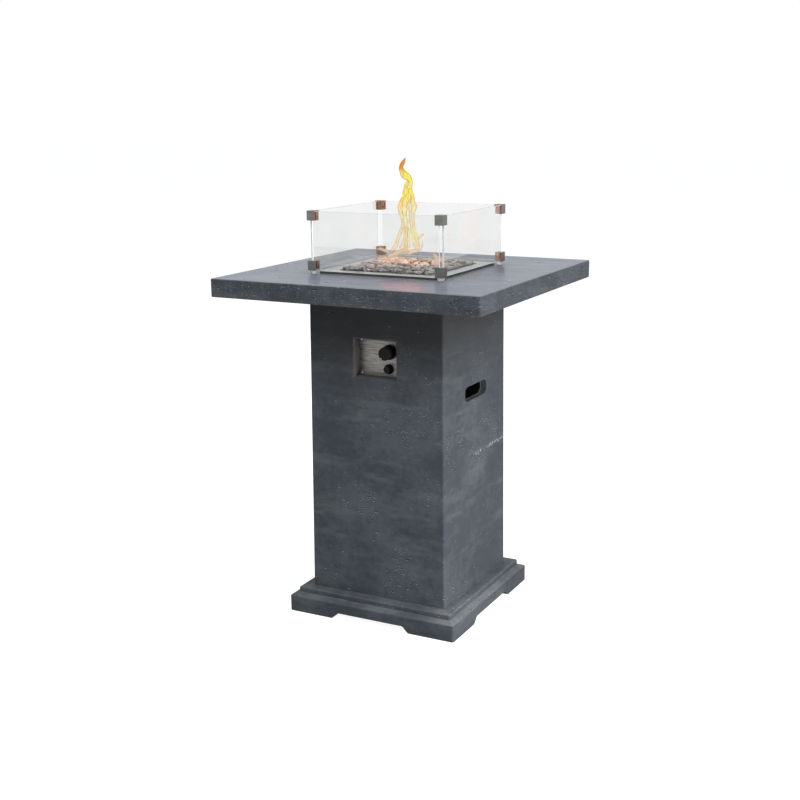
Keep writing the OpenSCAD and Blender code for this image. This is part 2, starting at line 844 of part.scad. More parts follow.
module cylinder_valve() {
    color(brass) difference() {
        union() {
            translate([0, 0, crown_z - stub_in]) cylinder(h = stub_in + past, r = neck_r - run);
            translate([0, 0, crown_z + fit / 3]) cylinder(h = 14, r = 20, $fn = 6);
            translate([0, 0, crown_z + past]) cylinder(h = bonnet_z - crown_z - past, r = body_r);
            translate([0, 0, bonnet_z - past]) cylinder(h = bonnet_top - bonnet_z + past, r = 12);
            at_outlet() {
                along_x(0, outlet_s, outlet_r);
                along_x(-relief_s, relief_s, 9);
                translate([-relief_s - 4, 0, 0]) rotate([0, 90, 0]) cylinder(h = 6, r = 10.5, $fn = 6);
            }
        }
        translate([0, 0, spindle_z - fit]) cylinder(h = bonnet_top, r = spindle_r + run);
        at_outlet() along_x(body_r + 3, outlet_s, outlet_bore);
    }
}
module cylinder_spindle() {
    color(steel) translate([0, 0, spindle_z])
        cylinder(h = wheel_z + wheel_bore - fit - spindle_z, r = spindle_r);
}
module handwheel() {
    lobes = 5;
    lobe_r = 12;
    hub_h = 16;
    hub_r = 11;
    rim_z = 3;
    rim_h = 10;
    color(black) translate([0, 0, wheel_z]) difference() {
        union() {
            cylinder(h = hub_h, r = hub_r);
            translate([0, 0, rim_z]) rotate_extrude() polygon([
                [0, 0], [wheel_r - 2, 0], [wheel_r, 2], [wheel_r, rim_h - 3], [wheel_r - 3, rim_h],
                [0, rim_h]]);
        }
        for (i = [0 : lobes - 1]) rotate([0, 0, 360 * i / lobes]) translate([wheel_r + lobe_r - 5, 0, -past])
            cylinder(h = hub_h + 2 * past, r = lobe_r);
        translate([0, 0, -past]) cylinder(h = wheel_bore + past, r = spindle_r + run);
    }
}

// Regulator with its hand-tightened coupling nut

nut_s = 24;
shoulder_s = outlet_s + fit;
shoulder_t = 4;
nipple_r = 9;
web_s = shoulder_s + shoulder_t + fit;
web_t = 8;
nut_end = web_s + web_t;
nut_r = 26;

module coupling_nut() {
    grips = 12;
    grip_r = 4;
    rim = 6;
    color(black) at_outlet() difference() {
        along_x(nut_s, nut_end - nut_s, nut_r);
        along_x(nut_s - past, web_s - nut_s + past, outlet_r + run);
        along_x(nut_s, nut_end, nipple_r + run);
        for (i = [0 : grips - 1]) rotate([360 * i / grips, 0, 0]) translate([0, 0, nut_r + grip_r * 0.4])
            along_x(nut_s + rim, nut_end, grip_r);
    }
}

// The body lies low, under a flange that its bonnet is screwed down on
reg_low = -15;
reg_flange_t = 4;
reg_rim = nipple_r + 0.5;
reg_bore = 4;
port_s = reg_s + reg_r + fit;
ferrule_r = 8.5;
ferrule_s = port_s + 17;
module regulator_body() {
    root = 8;
    port_hex_r = 10;
    color(steel) at_outlet() difference() {
        union() {
            along_x(shoulder_s, shoulder_t, outlet_r - 0.5);
            along_x(shoulder_s, reg_s - reg_r - shoulder_s + root, nipple_r);
            translate([reg_s, 0, 0]) rotate_extrude() polygon([
                [0, reg_low], [reg_r * 0.55, reg_low], [reg_r * 0.85, reg_low + 7],
                [reg_r * 0.9, reg_rim - reg_flange_t], [reg_r, reg_rim - reg_flange_t],
                [reg_r, reg_rim], [0, reg_rim]]);
            translate([port_s, 0, 0]) rotate([0, 90, 0]) cylinder(h = 9, r = port_hex_r, $fn = 6);
            along_x(port_s - root, ferrule_s - port_s + root, ferrule_r);
        }
        along_x(shoulder_s - past, 14, reg_bore);
    }
}
module regulator_bonnet() {
    screws = 6;
    flange_t = 3;
    cap_r = reg_r * 0.45;
    cap_h = 23;
    color(steel) at_outlet() translate([reg_s, 0, reg_rim + fit / 3]) {
        rotate_extrude() polygon([
            [0, 0], [reg_r, 0], [reg_r, flange_t], [reg_r * 0.85, flange_t + 1], [reg_r * 0.78, cap_h * 0.5],
            [cap_r, cap_h * 0.65], [cap_r, cap_h], [0, cap_h]]);
        for (i = [0 : screws - 1]) rotate([0, 0, 360 * (i + 0.5) / screws])
            translate([reg_r * 0.92, 0, flange_t / 2])
            cylinder(h = flange_t / 2 + 2.5, r = 2.4);
    }
}

// Hose from the regulator up the corner and along the left wall to the valve

outlet_way = [cos(outlet_az), sin(outlet_az), 0];
hose_start = [0, 0, outlet_z] + outlet_way * (ferrule_s + fit / 3);
knob_z = panel_z + knob_dz;
ports_y = plate_back + port_depth;
hose_end = [knob_x - port_l - fit / 3, ports_y, knob_z];
hose_wall_gap = 13.6;
hose_run_z = knob_z - 36;
hose_run_x = -bay_half(hose_run_z) + hose_wall_gap;
corner_y = -hose_run_x - 3;
corner_low = outlet_z + 58;
function corner_rise(t) = corner_low + (hose_run_z - corner_low) * t;
hose_mid = [
    [-126, 126, outlet_z + 3], [-139, 139, outlet_z + 13], [-148, 148, outlet_z + 32],
    [hose_run_x + 2, corner_y, corner_low], [hose_run_x + 1, corner_y, corner_rise(0.35)],
    [hose_run_x + 1, corner_y - 1, corner_rise(0.64)], [hose_run_x, corner_y - 10, corner_rise(0.86)],
    [hose_run_x, corner_y - 34, corner_rise(0.97)], [hose_run_x, corner_y - 60, hose_run_z],
    [hose_run_x, 45, hose_run_z], [hose_run_x, 0, hose_run_z], [hose_run_x, -35, hose_run_z],
    [hose_run_x + 4, ports_y + 45, hose_run_z + 5], [hose_run_x + 21, ports_y + 20, hose_run_z + 16],
    [hose_run_x + 49, ports_y + 5, knob_z - 7], [hose_run_x + 79, ports_y + 1, knob_z - 1]
];
hose_route = concat(
    [hose_start, hose_start + outlet_way * 5, hose_start + outlet_way * 10], hose_mid,
    [hose_end - [30, 0, 0], hose_end - [12, 0, 0], hose_end]);
module gas_hose() {
    color(black) swept_tube(smooth(hose_route, 2), hose_r, 10, [0, 0, 1]);
}

clip_y = [75, 5];
clip_t = 1.5;
clip_w = 14;
clip_r = hose_r + fit / 2;
clip_tab_z = hose_run_z + clip_r + clip_t / 2;
clip_tab_h = 20;
clip_wall_x = -bay_half(clip_tab_z + clip_tab_h) + fit / 3;
module at_clip_screws() {
    for (y = clip_y) translate([clip_wall_x + clip_t, y, clip_tab_z + clip_tab_h * 0.65])
        rotate([0, 90, 0]) children();
}
// P-shaped clip: a loop round the hose under a tab screwed to the wall
module hose_clips() {
    reach = hose_run_x - clip_wall_x;
    color(dark_steel) difference() {
        for (y = clip_y) translate([0, y - clip_w / 2, 0]) {
            translate([hose_run_x, 0, hose_run_z]) rotate([-90, 0, 0])
                cylinder(h = clip_w, r = clip_r + clip_t);
            translate([clip_wall_x, 0, clip_tab_z]) cube([clip_t, clip_w, clip_tab_h]);
            translate([clip_wall_x, 0, hose_run_z + clip_r - past]) cube([reach, clip_w, clip_t + past]);
        }
        translate([hose_run_x, clip_y[1] - clip_w, hose_run_z]) rotate([-90, 0, 0])
            cylinder(h = clip_y[0] - clip_y[1] + 2 * clip_w, r = clip_r);
        at_clip_screws() screw_hole();
    }
}

// Control plate, gas valve and igniter

igniter_z = panel_z - igniter_dz;
plate_screw_in = 4.2;

// Frame on the plate's front at (x, z), with +Z towards the user and +Y up
module on_plate(x, z) {
    translate([x, plate_front, z]) rotate([90, 0, 0]) children();
}
// Frame on the plate's back, with +Z away from the user
module behind_plate(x, z) {
    translate([x, plate_back, z]) rotate([-90, 0, 0]) children();
}
module at_plate_screws() {
    for (sx = [-1, 1], sz = [-1, 1])
        on_plate(sx * (panel_w / 2 - plate_screw_in), panel_z + sz * (panel_h / 2 - plate_screw_in))
            children();
}
module control_plate() {
    color(steel) difference() {
        translate([-panel_w / 2 + fit, plate_front, panel_z - panel_h / 2 + fit])
            cube([panel_w - 2 * fit, plate_t, panel_h - 2 * fit]);
        on_plate(knob_x, knob_z) translate([0, 0, -plate_t - past])
            cylinder(h = plate_t + 2 * past, r = stem_r + 1);
        on_plate(igniter_x, igniter_z) translate([0, 0, -plate_t - past])
            cylinder(h = plate_t + 2 * past, r = barrel_r + run);
        at_plate_screws() screw_hole();
        at_valve_screws() screw_hole();
    }
}
// Two screws beside the stem, under the knob's skirt, hold the valve to the plate
valve_screw_x = 11.5;
module at_valve_screws() {
    for (s = [-1, 1]) on_plate(knob_x + s * valve_screw_x, knob_z) children();
}
module plate_screws() {
    color(steel) {
        at_plate_screws() screw();
        at_valve_screws() screw();
    }
}

bonnet_t = 3.5;
housing_z = bonnet_t + fit / 3;
plug_l = 25;
stem_in = 16;
knob_gap = knob_push + head_h + 0.5;
knob_bore = knob_l * 0.7;
magnet_r = 9;
magnet_l = 16;
flare_r = 5;
flare_l = 8;

module valve_body() {
    color(brass) difference() {
        union() {
            behind_plate(knob_x, knob_z) {
                translate([0, 0, housing_z]) cylinder(h = valve_l - housing_z, r = valve_r);
                translate([0, 0, valve_l - past]) cylinder(h = magnet_l + past, r = magnet_r);
                translate([0, 0, valve_l + magnet_l / 2])
                    cylinder(h = magnet_l / 3, r = magnet_r + 2, $fn = 6);
            }
            translate([knob_x, ports_y, knob_z]) {
                along_x(-port_l, 2 * port_l - flare_l, port_r);
                along_x(0, port_l, flare_r);
                translate([-port_l + 3, 0, 0]) rotate([0, 90, 0]) cylinder(h = 9, r = port_r * 1.25, $fn = 6);
            }
        }
        behind_plate(knob_x, knob_z) cylinder(h = housing_z + plug_l + fit, r = plug_r + run);
        at_valve_screws() screw_hole();
    }
}
module valve_bonnet() {
    color(steel) difference() {
        behind_plate(knob_x, knob_z) difference() {
            cylinder(h = bonnet_t, r = valve_r);
            translate([0, 0, -past]) cylinder(h = bonnet_t + 2 * past, r = stem_r + run);
        }
        at_valve_screws() screw_hole();
    }
}
module valve_plug() {
    color(brass) behind_plate(knob_x, knob_z) translate([0, 0, housing_z]) difference() {
        cylinder(h = plug_l, r = plug_r);
        translate([0, 0, -past]) cylinder(h = stem_in + knob_push + 2 * fit + past, r = stem_r + run);
    }
}
module valve_stem() {
    low = plate_t + housing_z + stem_in;
    color(steel) on_plate(knob_x, knob_z) translate([0, 0, -low])
        cylinder(h = low + knob_gap + knob_bore, r = stem_r);
}
module valve_knob() {
    grip_r = knob_r - 1.5;
    skirt_h = 5;
    flutes = 18;
    flute_r = 2.4;
    pointer_w = 3;
    color(black) on_plate(knob_x, knob_z) rotate([0, 0, knob_turn]) translate([0, 0, knob_gap]) difference() {
        union() {
            rotate_extrude() polygon([
                [0, 0], [knob_r, 0], [knob_r, skirt_h - 1.5], [knob_r - 1, skirt_h], [grip_r, skirt_h + 0.5],
                [grip_r - 0.8, knob_l - 2], [grip_r - 1.6, knob_l - 0.7], [grip_r - 3, knob_l], [0, knob_l]]);
            translate([-pointer_w / 2, grip_r * 0.35, knob_l - past])
                cube([pointer_w, grip_r * 0.45, past + 0.8]);
        }
        for (i = [0 : flutes - 1]) rotate([0, 0, 360 * i / flutes]) translate([grip_r + 1, 0, skirt_h + 2])
            cylinder(h = knob_l, r = flute_r);
        translate([0, 0, -past]) cylinder(h = knob_bore + fit + past, r = stem_r + run);
    }
}

button_in = button_push + 4;
module igniter_body() {
    color(black) on_plate(igniter_x, igniter_z) difference() {
        union() {
            rotate_extrude() polygon([
                [0, 0], [collar_r, 0], [collar_r, collar_l - 1.5], [collar_r - 1.5, collar_l],
                [0, collar_l]]);
            translate([0, 0, -plate_t - barrel_l]) cylinder(h = barrel_l + plate_t + past, r = barrel_r);
        }
        translate([0, 0, -button_in]) cylinder(h = button_in + collar_l + past, r = button_r + run);
        translate([0, 0, -button_in - battery_l - 2 * fit])
            cylinder(h = battery_l + 2 * fit + past, r = battery_r + run);
    }
}
module igniter_nut() {
    nut_t = 5;
    color(black) behind_plate(igniter_x, igniter_z) difference() {
        cylinder(h = nut_t, r = barrel_r + 3.2, $fn = 6);
        translate([0, 0, -past]) cylinder(h = nut_t + 2 * past, r = barrel_r + run);
    }
}
module igniter_battery() {
    nub_r = 2.7;
    nub_h = 1;
    color(brass) on_plate(igniter_x, igniter_z) translate([0, 0, -button_in - battery_l - fit]) {
        cylinder(h = battery_l - nub_h, r = battery_r);
        cylinder(h = battery_l, r = nub_r);
    }
}
// The button's foot stands its travel and a little more above the battery
module igniter_button() {
    foot_z = -button_in + button_push + fit;
    tip = collar_l + button_out - foot_z;
    color(black) on_plate(igniter_x, igniter_z) translate([0, 0, foot_z]) rotate_extrude() polygon([
        [0, 0], [button_r, 0], [button_r, tip - 1], [button_r - 1, tip], [0, tip - 0.8]]);
}

// Burner

pan_corner_r = 10;
flange_w = guard_w / 2 - bracket_w / 2 - foot_low_r - flange_gap - pan_w / 2;
pan_low = table_h + flange_h - pan_d;
pan_floor = pan_low + pan_t;
ring_z = pan_floor + tube_z;
ring_top = ring_z + tube_r;
hub_r = 14;
pipe_r = 8;
pipe_in = 6;
sensor_x = 12;
sensor_y = -45;
sensor_half_w = 24;
sensor_half_d = 8;
sensor_r = 3.4;
sensor_low = pan_low - 26;
sensor_grip = 10;
mixer_low = pan_low - 62;
mixer_h = 42;
socket_d = 12;
jet_l = 19;
jet_flange = 8;
orifice_low = mixer_low - jet_flange;

module at_sensors() {
    for (s = [-1, 1]) translate([s * sensor_x, sensor_y, 0]) children();
}
module burner_pan() {
    drains = 4;
    drain_r = 3;
    rim_w = pan_w + 2 * flange_w;
    rim_r = 8;
    bin_w = pan_w - 2 * pan_t;
    color(steel) difference() {
        union() {
            translate([0, 0, table_h]) linear_extrude(flange_h) rounded_rect(rim_w, rim_w, rim_r);
            translate([0, 0, pan_low]) linear_extrude(pan_d) rounded_rect(pan_w, pan_w, pan_corner_r);
        }
        translate([0, 0, table_h - past]) linear_extrude(flange_h - pan_t + past) difference() {
            rounded_rect(rim_w - 2 * pan_t, rim_w - 2 * pan_t, rim_r - pan_t);
            rounded_rect(pan_w, pan_w, pan_corner_r);
        }
        translate([0, 0, pan_floor]) linear_extrude(pan_d) rounded_rect(bin_w, bin_w, pan_corner_r - pan_t);
        translate([0, 0, pan_low - past]) cylinder(h = pan_d, r = pipe_r + fit);
        at_sensors() translate([0, 0, pan_low - past]) cylinder(h = pan_d, r = sensor_r + fit);
        for (i = [0 : drains - 1]) rotate([0, 0, 45 + 360 * i / drains])
            translate([pan_w * 0.62, 0, pan_low - past]) cylinder(h = pan_d, r = drain_r);
    }
}
// A ring of tube fed through a straight cross tube from a hub that stands on the stem
module burner_ring() {
    wall = 1.5;
    arm_r = tube_r - wall;
    color(steel) translate([0, 0, ring_z]) difference() {
        union() {
            rotate_extrude($fn = 96) translate([burner_r, 0]) circle(r = tube_r);
            along_x(-burner_r, 2 * burner_r, arm_r);
            translate([0, 0, -tube_z + fit / 3]) cylinder(h = tube_z + tube_r - fit / 3, r = hub_r);
        }
        rotate_extrude($fn = 96) translate([burner_r, 0]) circle(r = tube_r - wall);
        along_x(-burner_r, 2 * burner_r, arm_r - wall);
        translate([0, 0, -tube_z]) cylinder(h = tube_z + wall, r = pipe_in);
        translate([0, 0, -tube_z - past]) cylinder(h = tube_z / 2 + past, r = pipe_r + run);
        for (i = [0 : ports - 1]) rotate([0, 0, 360 * (i + 0.5) / ports]) translate([burner_r, 0, 0])
            cylinder(h = tube_r + past, r = port_hole_r);
    }
}
module burner_stem() {
    low = mixer_low + mixer_h - socket_d;
    color(steel) translate([0, 0, low]) difference() {
        cylinder(h = pan_floor + tube_z / 2 - fit - low, r = pipe_r);
        translate([0, 0, -past]) cylinder(h = ring_z - low, r = pipe_in);
    }
}
module burner_locknut() {
    h = 6;
    nut_r = 15;
    color(steel) translate([0, 0, pan_low - fit / 3 - h]) difference() {
        cylinder(h = h, r = nut_r, $fn = 6);
        translate([0, 0, -past]) cylinder(h = h + 2 * past, r = pipe_r + run);
    }
}
module air_mixer() {
    air_holes = 4;
    air_r = 3.5;
    air_z = 19;
    neck = 9;
    cup = 13;
    color(brass) translate([0, 0, mixer_low]) difference() {
        rotate_extrude() polygon([
            [0, 0], [neck, 0], [neck, 5], [cup, 9], [cup, mixer_h - 1], [cup - 1, mixer_h], [0, mixer_h]]);
        translate([0, 0, -past]) cylinder(h = mixer_h, r = flare_r + run);
        translate([0, 0, jet_l - jet_flange + past]) cylinder(h = mixer_h, r = pipe_in + 1.5);
        translate([0, 0, mixer_h - socket_d - fit]) cylinder(h = mixer_h, r = pipe_r + run);
        for (i = [0 : air_holes - 1]) rotate([0, 0, 45 + 360 * i / air_holes]) translate([0, 0, air_z])
            along_x(0, 2 * cup, air_r);
    }
}
module gas_orifice() {
    hex_z = 5;
    jet_r = 0.8;
    color(brass) translate([0, 0, orifice_low]) difference() {
        union() {
            cylinder(h = jet_l, r = flare_r);
            translate([0, 0, hex_z]) cylinder(h = jet_flange - hex_z - fit / 3, r = 7.5, $fn = 6);
        }
        translate([0, 0, -past]) cylinder(h = jet_l - 5 + past, r = 3);
        cylinder(h = jet_l + past, r = jet_r);
    }
}

feed_r = 4.8;
feed_start = [knob_x + port_l + fit / 3, ports_y, knob_z];
feed_end = [0, 0, orifice_low - fit / 3];
function feed_rise(t) = knob_z + (orifice_low - knob_z) * t;
feed_mid = [
    feed_start + [30, 2.6, 2], feed_start + [40, 16, 10], [92, -76, feed_rise(0.31)],
    [69, -45, feed_rise(0.45)], [41, -22, feed_rise(0.56)], [15, -6, feed_rise(0.65)]
];
module feed_tube() {
    route = concat(
        [feed_start, feed_start + [6, 0, 0], feed_start + [12, 0, 0]], feed_mid,
        [feed_end - [0, 0, 16], feed_end - [0, 0, 8], feed_end]);
    color(steel) swept_tube(smooth(route, 3), feed_r, 12, [0, 0, 1]);
}
module flare_nut() {
    h = 13;
    difference() {
        translate([0, 0, -h / 2]) cylinder(h = h, r = 8.5, $fn = 6);
        translate([0, 0, -h / 2 - past]) cylinder(h = h + 2 * past, r = flare_r + run);
    }
}
module flare_nuts() {
    color(brass) {
        translate(feed_start) rotate([0, 90, 0]) translate([0, 0, -0.5]) flare_nut();
        translate(feed_end) translate([0, 0, -2]) flare_nut();
    }
}

rod_r = 1;
module sensor_bracket() {
    t = 1.5;
    tube_h = 8;
    color(steel) translate([0, 0, pan_floor]) difference() {
        union() {
            translate([-sensor_half_w, sensor_y - sensor_half_d, 0])
                cube([2 * sensor_half_w, 2 * sensor_half_d, t]);
            at_sensors() cylinder(h = tube_h, r = sensor_r + 2);
        }
        at_sensors() translate([0, 0, -past]) cylinder(h = tube_h + 2 * past, r = sensor_r + run);
    }
}
module electrode_insulator() {
    color("white") translate([-sensor_x, sensor_y, sensor_low]) difference() {
        union() {
            cylinder(h = ring_z + 2 - sensor_low, r = sensor_r);
            cylinder(h = sensor_grip, r = sensor_r + 1.6);
        }
        translate([0, 0, -past]) cylinder(h = ring_top - sensor_low, r = rod_r + run);
    }
}
module electrode_rod() {
    low = sensor_low + 2;
    color(steel) translate([-sensor_x, sensor_y, low]) cylinder(h = ring_top + 3 - low, r = rod_r);
}
lead_r = 1.5;
capillary_r = 1.3;
function lead_rise(t) = igniter_z + (sensor_low - igniter_z) * t;
lead_mid = [
    [22, -64, lead_rise(0.05)], [10, -52, lead_rise(0.17)], [-4, -47, lead_rise(0.36)],
    [-11, -45, lead_rise(0.58)], [-12, -45, lead_rise(0.8)]
];
module igniter_lead() {
    start = [igniter_x, plate_back + barrel_l + fit / 3, igniter_z];
    stop = [-sensor_x, sensor_y, sensor_low - fit / 3];
    route = concat([start, start + [0, 8, 0]], lead_mid, [stop]);
    color(black) swept_tube(smooth(route, 2), lead_r, 8, [0, 0, 1]);
}
function capillary_rise(t) = knob_z + (sensor_low - knob_z) * t;
capillary_mid = [
    [28, -74, capillary_rise(0.02)], [27, -60, capillary_rise(0.11)], [22, -49, capillary_rise(0.25)],
    [14, -46, capillary_rise(0.44)], [12, -45, capillary_rise(0.69)]
];
module thermocouple() {
    start = [knob_x, plate_back + valve_l + magnet_l + fit / 3, knob_z];
    stop = [sensor_x, sensor_y, sensor_low];
    route = concat([start, start + [0, 5, 0]], capillary_mid, [stop + [0, 0, past]]);
    color(brass) {
        translate([sensor_x, sensor_y, sensor_low]) {
            cylinder(h = sensor_grip, r = sensor_r + 1);
            cylinder(h = ring_z - 2 - sensor_low, r = sensor_r);
            cylinder(h = ring_top + 5 - sensor_low, r = 2.2);
        }
        swept_tube(smooth(route, 2), capillary_r, 8, [0, 0, 1]);
    }
}

// Heat shield hung on the column's walls

shield_z = table_h - shield_drop;
shield_half = bay_half(shield_z + shield_lip) - fit / 2;
shield_corner_cut = 24;
module at_shield_screws() {
    for (a = [0 : 90 : 270]) rotate([0, 0, a])
        translate([shield_half - shield_t, 0, shield_z + shield_lip * 0.6])
        rotate([0, -90, 0]) children();
}
module heat_shield() {
    w = 2 * shield_half;
    color(steel) difference() {
        translate([-w / 2, -w / 2, shield_z]) cube([w, w, shield_lip]);
        translate([-w / 2 + shield_t, -w / 2 + shield_t, shield_z + shield_t])
            cube([w - 2 * shield_t, w - 2 * shield_t, shield_lip]);
        at_corners(w / 2, w / 2) translate([-shield_corner_cut, -shield_corner_cut, shield_z - past])
            cube([2 * shield_corner_cut, 2 * shield_corner_cut, shield_lip + 2 * past]);
        translate([0, 0, shield_z - past]) cylinder(h = shield_lip, r = 13);
        at_sensors() translate([0, 0, shield_z - past]) cylinder(h = shield_lip, r = 5);
        at_shield_screws() screw_hole();
    }
}

// Lava rock: two hidden layers that fill the pan and one on show, each stone in a cell of its own

rock_room = pan_w - 2 * pan_t - 2;
rock_sides = 6;
rock_draws = 4000;
rock_seed = rands(0, 1, rock_draws, 11);
function pick(i) = rock_seed[i % rock_draws];
// Line i of n + 1 across the pan, moved a little out of step except at the walls
function cell_line(i, n, id) =
    rock_room * (i / n - 0.5 + (i == 0 || i == n ? 0 : 0.36 * (pick(id + 3 * i) - 0.5) / n));
// Reach of a stone's outline at angle a in a square cell of half width 1, held to a blunt corner
function cell_reach(a) = min(1.17, 1 / max(abs(cos(a)), abs(sin(a))));

// One stone of height h that fills the cell from low to high, with flat ends and uneven sides.
// A row is a height and the least and greatest share of the cell that the outline takes there.
hidden_rows = [[0, 0.78, 0.92], [0.5, 0.95, 1], [1, 0.8, 0.93]];
shown_rows = [[0, 0.7, 0.86], [0.45, 0.9, 1], [1, 0.4, 0.68]];
module rock(low, high, z, h, id, rows) {
    mid = (low + high) / 2;
    half_size = (high - low) / 2 - [fit, fit] / 2;
    corners = [for (j = [0 : 2], k = [0 : rock_sides - 1])
        let (a = 360 * (k + 0.5 * pick(id + k) + pick(id + 40)) / rock_sides,
             share = rows[j][1] + (rows[j][2] - rows[j][1]) * pick(id + rock_sides * j + k + 7),
             r = cell_reach(a) * share)
        [mid[0] + half_size[0] * r * cos(a), mid[1] + half_size[1] * r * sin(a), z + h * rows[j][0]]];
    walls = [for (j = [0, 1], k = [0 : rock_sides - 1], side = [0, 1])
        let (a = j * rock_sides + k, b = j * rock_sides + (k + 1) % rock_sides)
        side == 0 ? [a, a + rock_sides, b + rock_sides] : [a, b + rock_sides, b]];
    ends = [[for (k = [0 : rock_sides - 1]) k], [for (k = [rock_sides - 1 : -1 : 0]) 2 * rock_sides + k]];
    polyhedron(points = corners, faces = concat(walls, ends));
}
function near_burner(x, y, s) =
    abs(norm([x, y]) - burner_r) < tube_r + s || norm([x, y]) < hub_r + s ||
    (abs(y) < tube_r + s && abs(x) < burner_r);
function near_sensors(x, y, sx, sy) = abs(x) < sensor_half_w + sx && abs(y - sensor_y) < sensor_half_d + sy;
function near_tips(x, y, sx, sy) = abs(x) < sensor_x + sensor_r + sx && abs(y - sensor_y) < sensor_r + sy;
function heap(x, y) = 1 - 0.85 * max(abs(x), abs(y)) / (pan_w / 2);

module lava_rocks() {
    layer_z = [pan_floor, ring_top + fit / 2, ring_top + fit + rock_layer];
    color([0.33, 0.29, 0.28]) for (j = [0 : 2]) {
        n = j == 2 ? rock_n + 1 : rock_n;
        for (k = [0 : n - 1], i = [0 : n - 1]) {
            id = 97 * (i + n * k) + 1201 * j;
            low = [cell_line(i, n, 50 * k + 7 * j), cell_line(k, n, 900 + 5 * j)];
            high = [cell_line(i + 1, n, 50 * k + 7 * j), cell_line(k + 1, n, 900 + 5 * j)];
            mid = (low + high) / 2;
            s = (high - low) / 2;
            reach = max(s[0], s[1]);
            clear = j == 0 ? !near_burner(mid[0], mid[1], reach) && !near_sensors(mid[0], mid[1], s[0], s[1]) :
                j == 1 ? !near_tips(mid[0], mid[1], s[0], s[1]) : true;
            h = j == 0 ? ring_top - pan_floor : j == 1 ? rock_layer :
                rock_low + rock_rise * heap(mid[0], mid[1]) * pick(id + 60);
            if (clear) rock(low, high, layer_z[j], h, id, j == 2 ? shown_rows : hidden_rows);
        }
    }
}

// Glass wind guard

guard_half = guard_w / 2;
guard_z = table_h + foot_h;
pane_low = guard_z + bracket_end + fit / 3;
pane_high = table_h + guard_h - bracket_end - fit / 3;
pane_gap = 0.15;
pane_end = guard_half - bracket_w + glass_in;
pane_out = guard_half - bracket_wall - pane_gap;

module pane(turn) {
    rotate([0, 0, turn]) translate([-pane_end, -pane_out, pane_low])
        cube([2 * pane_end, glass_t, pane_high - pane_low]);
}
module glass_front() {
    color([0.8, 0.88, 0.88, 0.4]) pane(0);
}
module glass_right() {
    color([0.8, 0.88, 0.88, 0.4]) pane(90);
}
module glass_back() {
    color([0.8, 0.88, 0.88, 0.4]) pane(180);
}
module glass_left() {
    color([0.8, 0.88, 0.88, 0.4]) pane(270);
}

// Set screws press each pane from inside: one per inner face, at different heights
grub_r = 2.5;
grub_l = 9;
grub_step = 4.5;
module at_bracket_grubs() {
    along = guard_half - bracket_w + glass_in / 2;
    pane_in = pane_out - glass_t - pane_gap;
    at_corners(along, pane_in) translate([0, 0, grub_step]) rotate([90, 0, 0]) children();
    at_corners(pane_in, along) translate([0, 0, -grub_step]) rotate([0, -90, 0]) children();
}
module guard_bracket(flip) {
    room = glass_t + 2 * pane_gap;
    slot = glass_in + fit + past;
    high = bracket_h - bracket_end;
    mirror([0, 0, flip]) difference() {
        translate([-bracket_w, -bracket_w, 0]) cube([bracket_w, bracket_w, bracket_h]);
        translate([-bracket_w - past, -bracket_wall - room, bracket_end]) cube([slot, room, high + past]);
        translate([-bracket_wall - room, -bracket_w - past, bracket_end]) cube([room, slot, high + past]);
    }
}
low_bracket_mid = guard_z + bracket_h / 2;
high_bracket_mid = table_h + guard_h - bracket_h / 2;
module guard_brackets() {
    color(dark_steel) difference() {
        union() {
            at_corners(guard_half, guard_half) translate([0, 0, guard_z]) guard_bracket(0);
            at_corners(guard_half, guard_half) translate([0, 0, table_h + guard_h]) guard_bracket(1);
        }
        for (z = [low_bracket_mid, high_bracket_mid]) translate([0, 0, z]) at_bracket_grubs()
            cylinder(h = bracket_w, r = grub_r + run);
    }
}
module guard_screws() {
    color(steel) for (z = [low_bracket_mid, high_bracket_mid]) translate([0, 0, z]) at_bracket_grubs()
        translate([0, 0, 0.1]) difference() {
            cylinder(h = grub_l, r = grub_r);
            translate([0, 0, grub_l - 3]) cylinder(h = 3 + past, r = 1.4, $fn = 6);
        }
}
module guard_feet() {
    high = foot_h - fit / 3 - fit / 3;
    color([0.85, 0.85, 0.8, 0.6]) at_corners(guard_half - bracket_w / 2, guard_half - bracket_w / 2)
        translate([0, 0, table_h + fit / 3]) rotate_extrude() polygon([
            [0, 0], [foot_low_r, 0], [foot_top_r, foot_h - 2], [foot_top_r, high], [0, high]]);
}

module wall_screws() {
    color(steel) {
        at_frame_hinge_screws() screw();
        at_catch_screws() screw();
        at_clip_screws() screw();
        at_tray_screws() screw();
        at_shield_screws() screw();
    }
}
module door_screws() {
    color(steel) {
        at_door_hinge_screws() screw();
        at_strike_screw() screw();
    }
}

table_slab();
column();
plinth();
angle_brackets();
frame_bolts();
door_panel();
hinge_frame_leaves();
hinge_door_leaves();
hinge_pins();
door_pull();
pull_screw();
magnet_catch();
strike_plate();
wall_screws();
door_screws();
tank_tray();
cylinder_shell();
cylinder_foot_ring();
cylinder_collar();
cylinder_valve();
cylinder_spindle();
handwheel();
coupling_nut();
regulator_body();
regulator_bonnet();
gas_hose();
hose_clips();
control_plate();
plate_screws();
valve_body();
valve_bonnet();
valve_plug();
valve_stem();
valve_knob();
igniter_body();
igniter_nut();
igniter_battery();
igniter_button();
igniter_lead();
electrode_insulator();
electrode_rod();
thermocouple();
sensor_bracket();
burner_pan();
burner_ring();
burner_stem();
burner_locknut();
air_mixer();
gas_orifice();
feed_tube();
flare_nuts();
heat_shield();
lava_rocks();
glass_front();
glass_back();
glass_left();
glass_right();
guard_brackets();
guard_screws();
guard_feet();
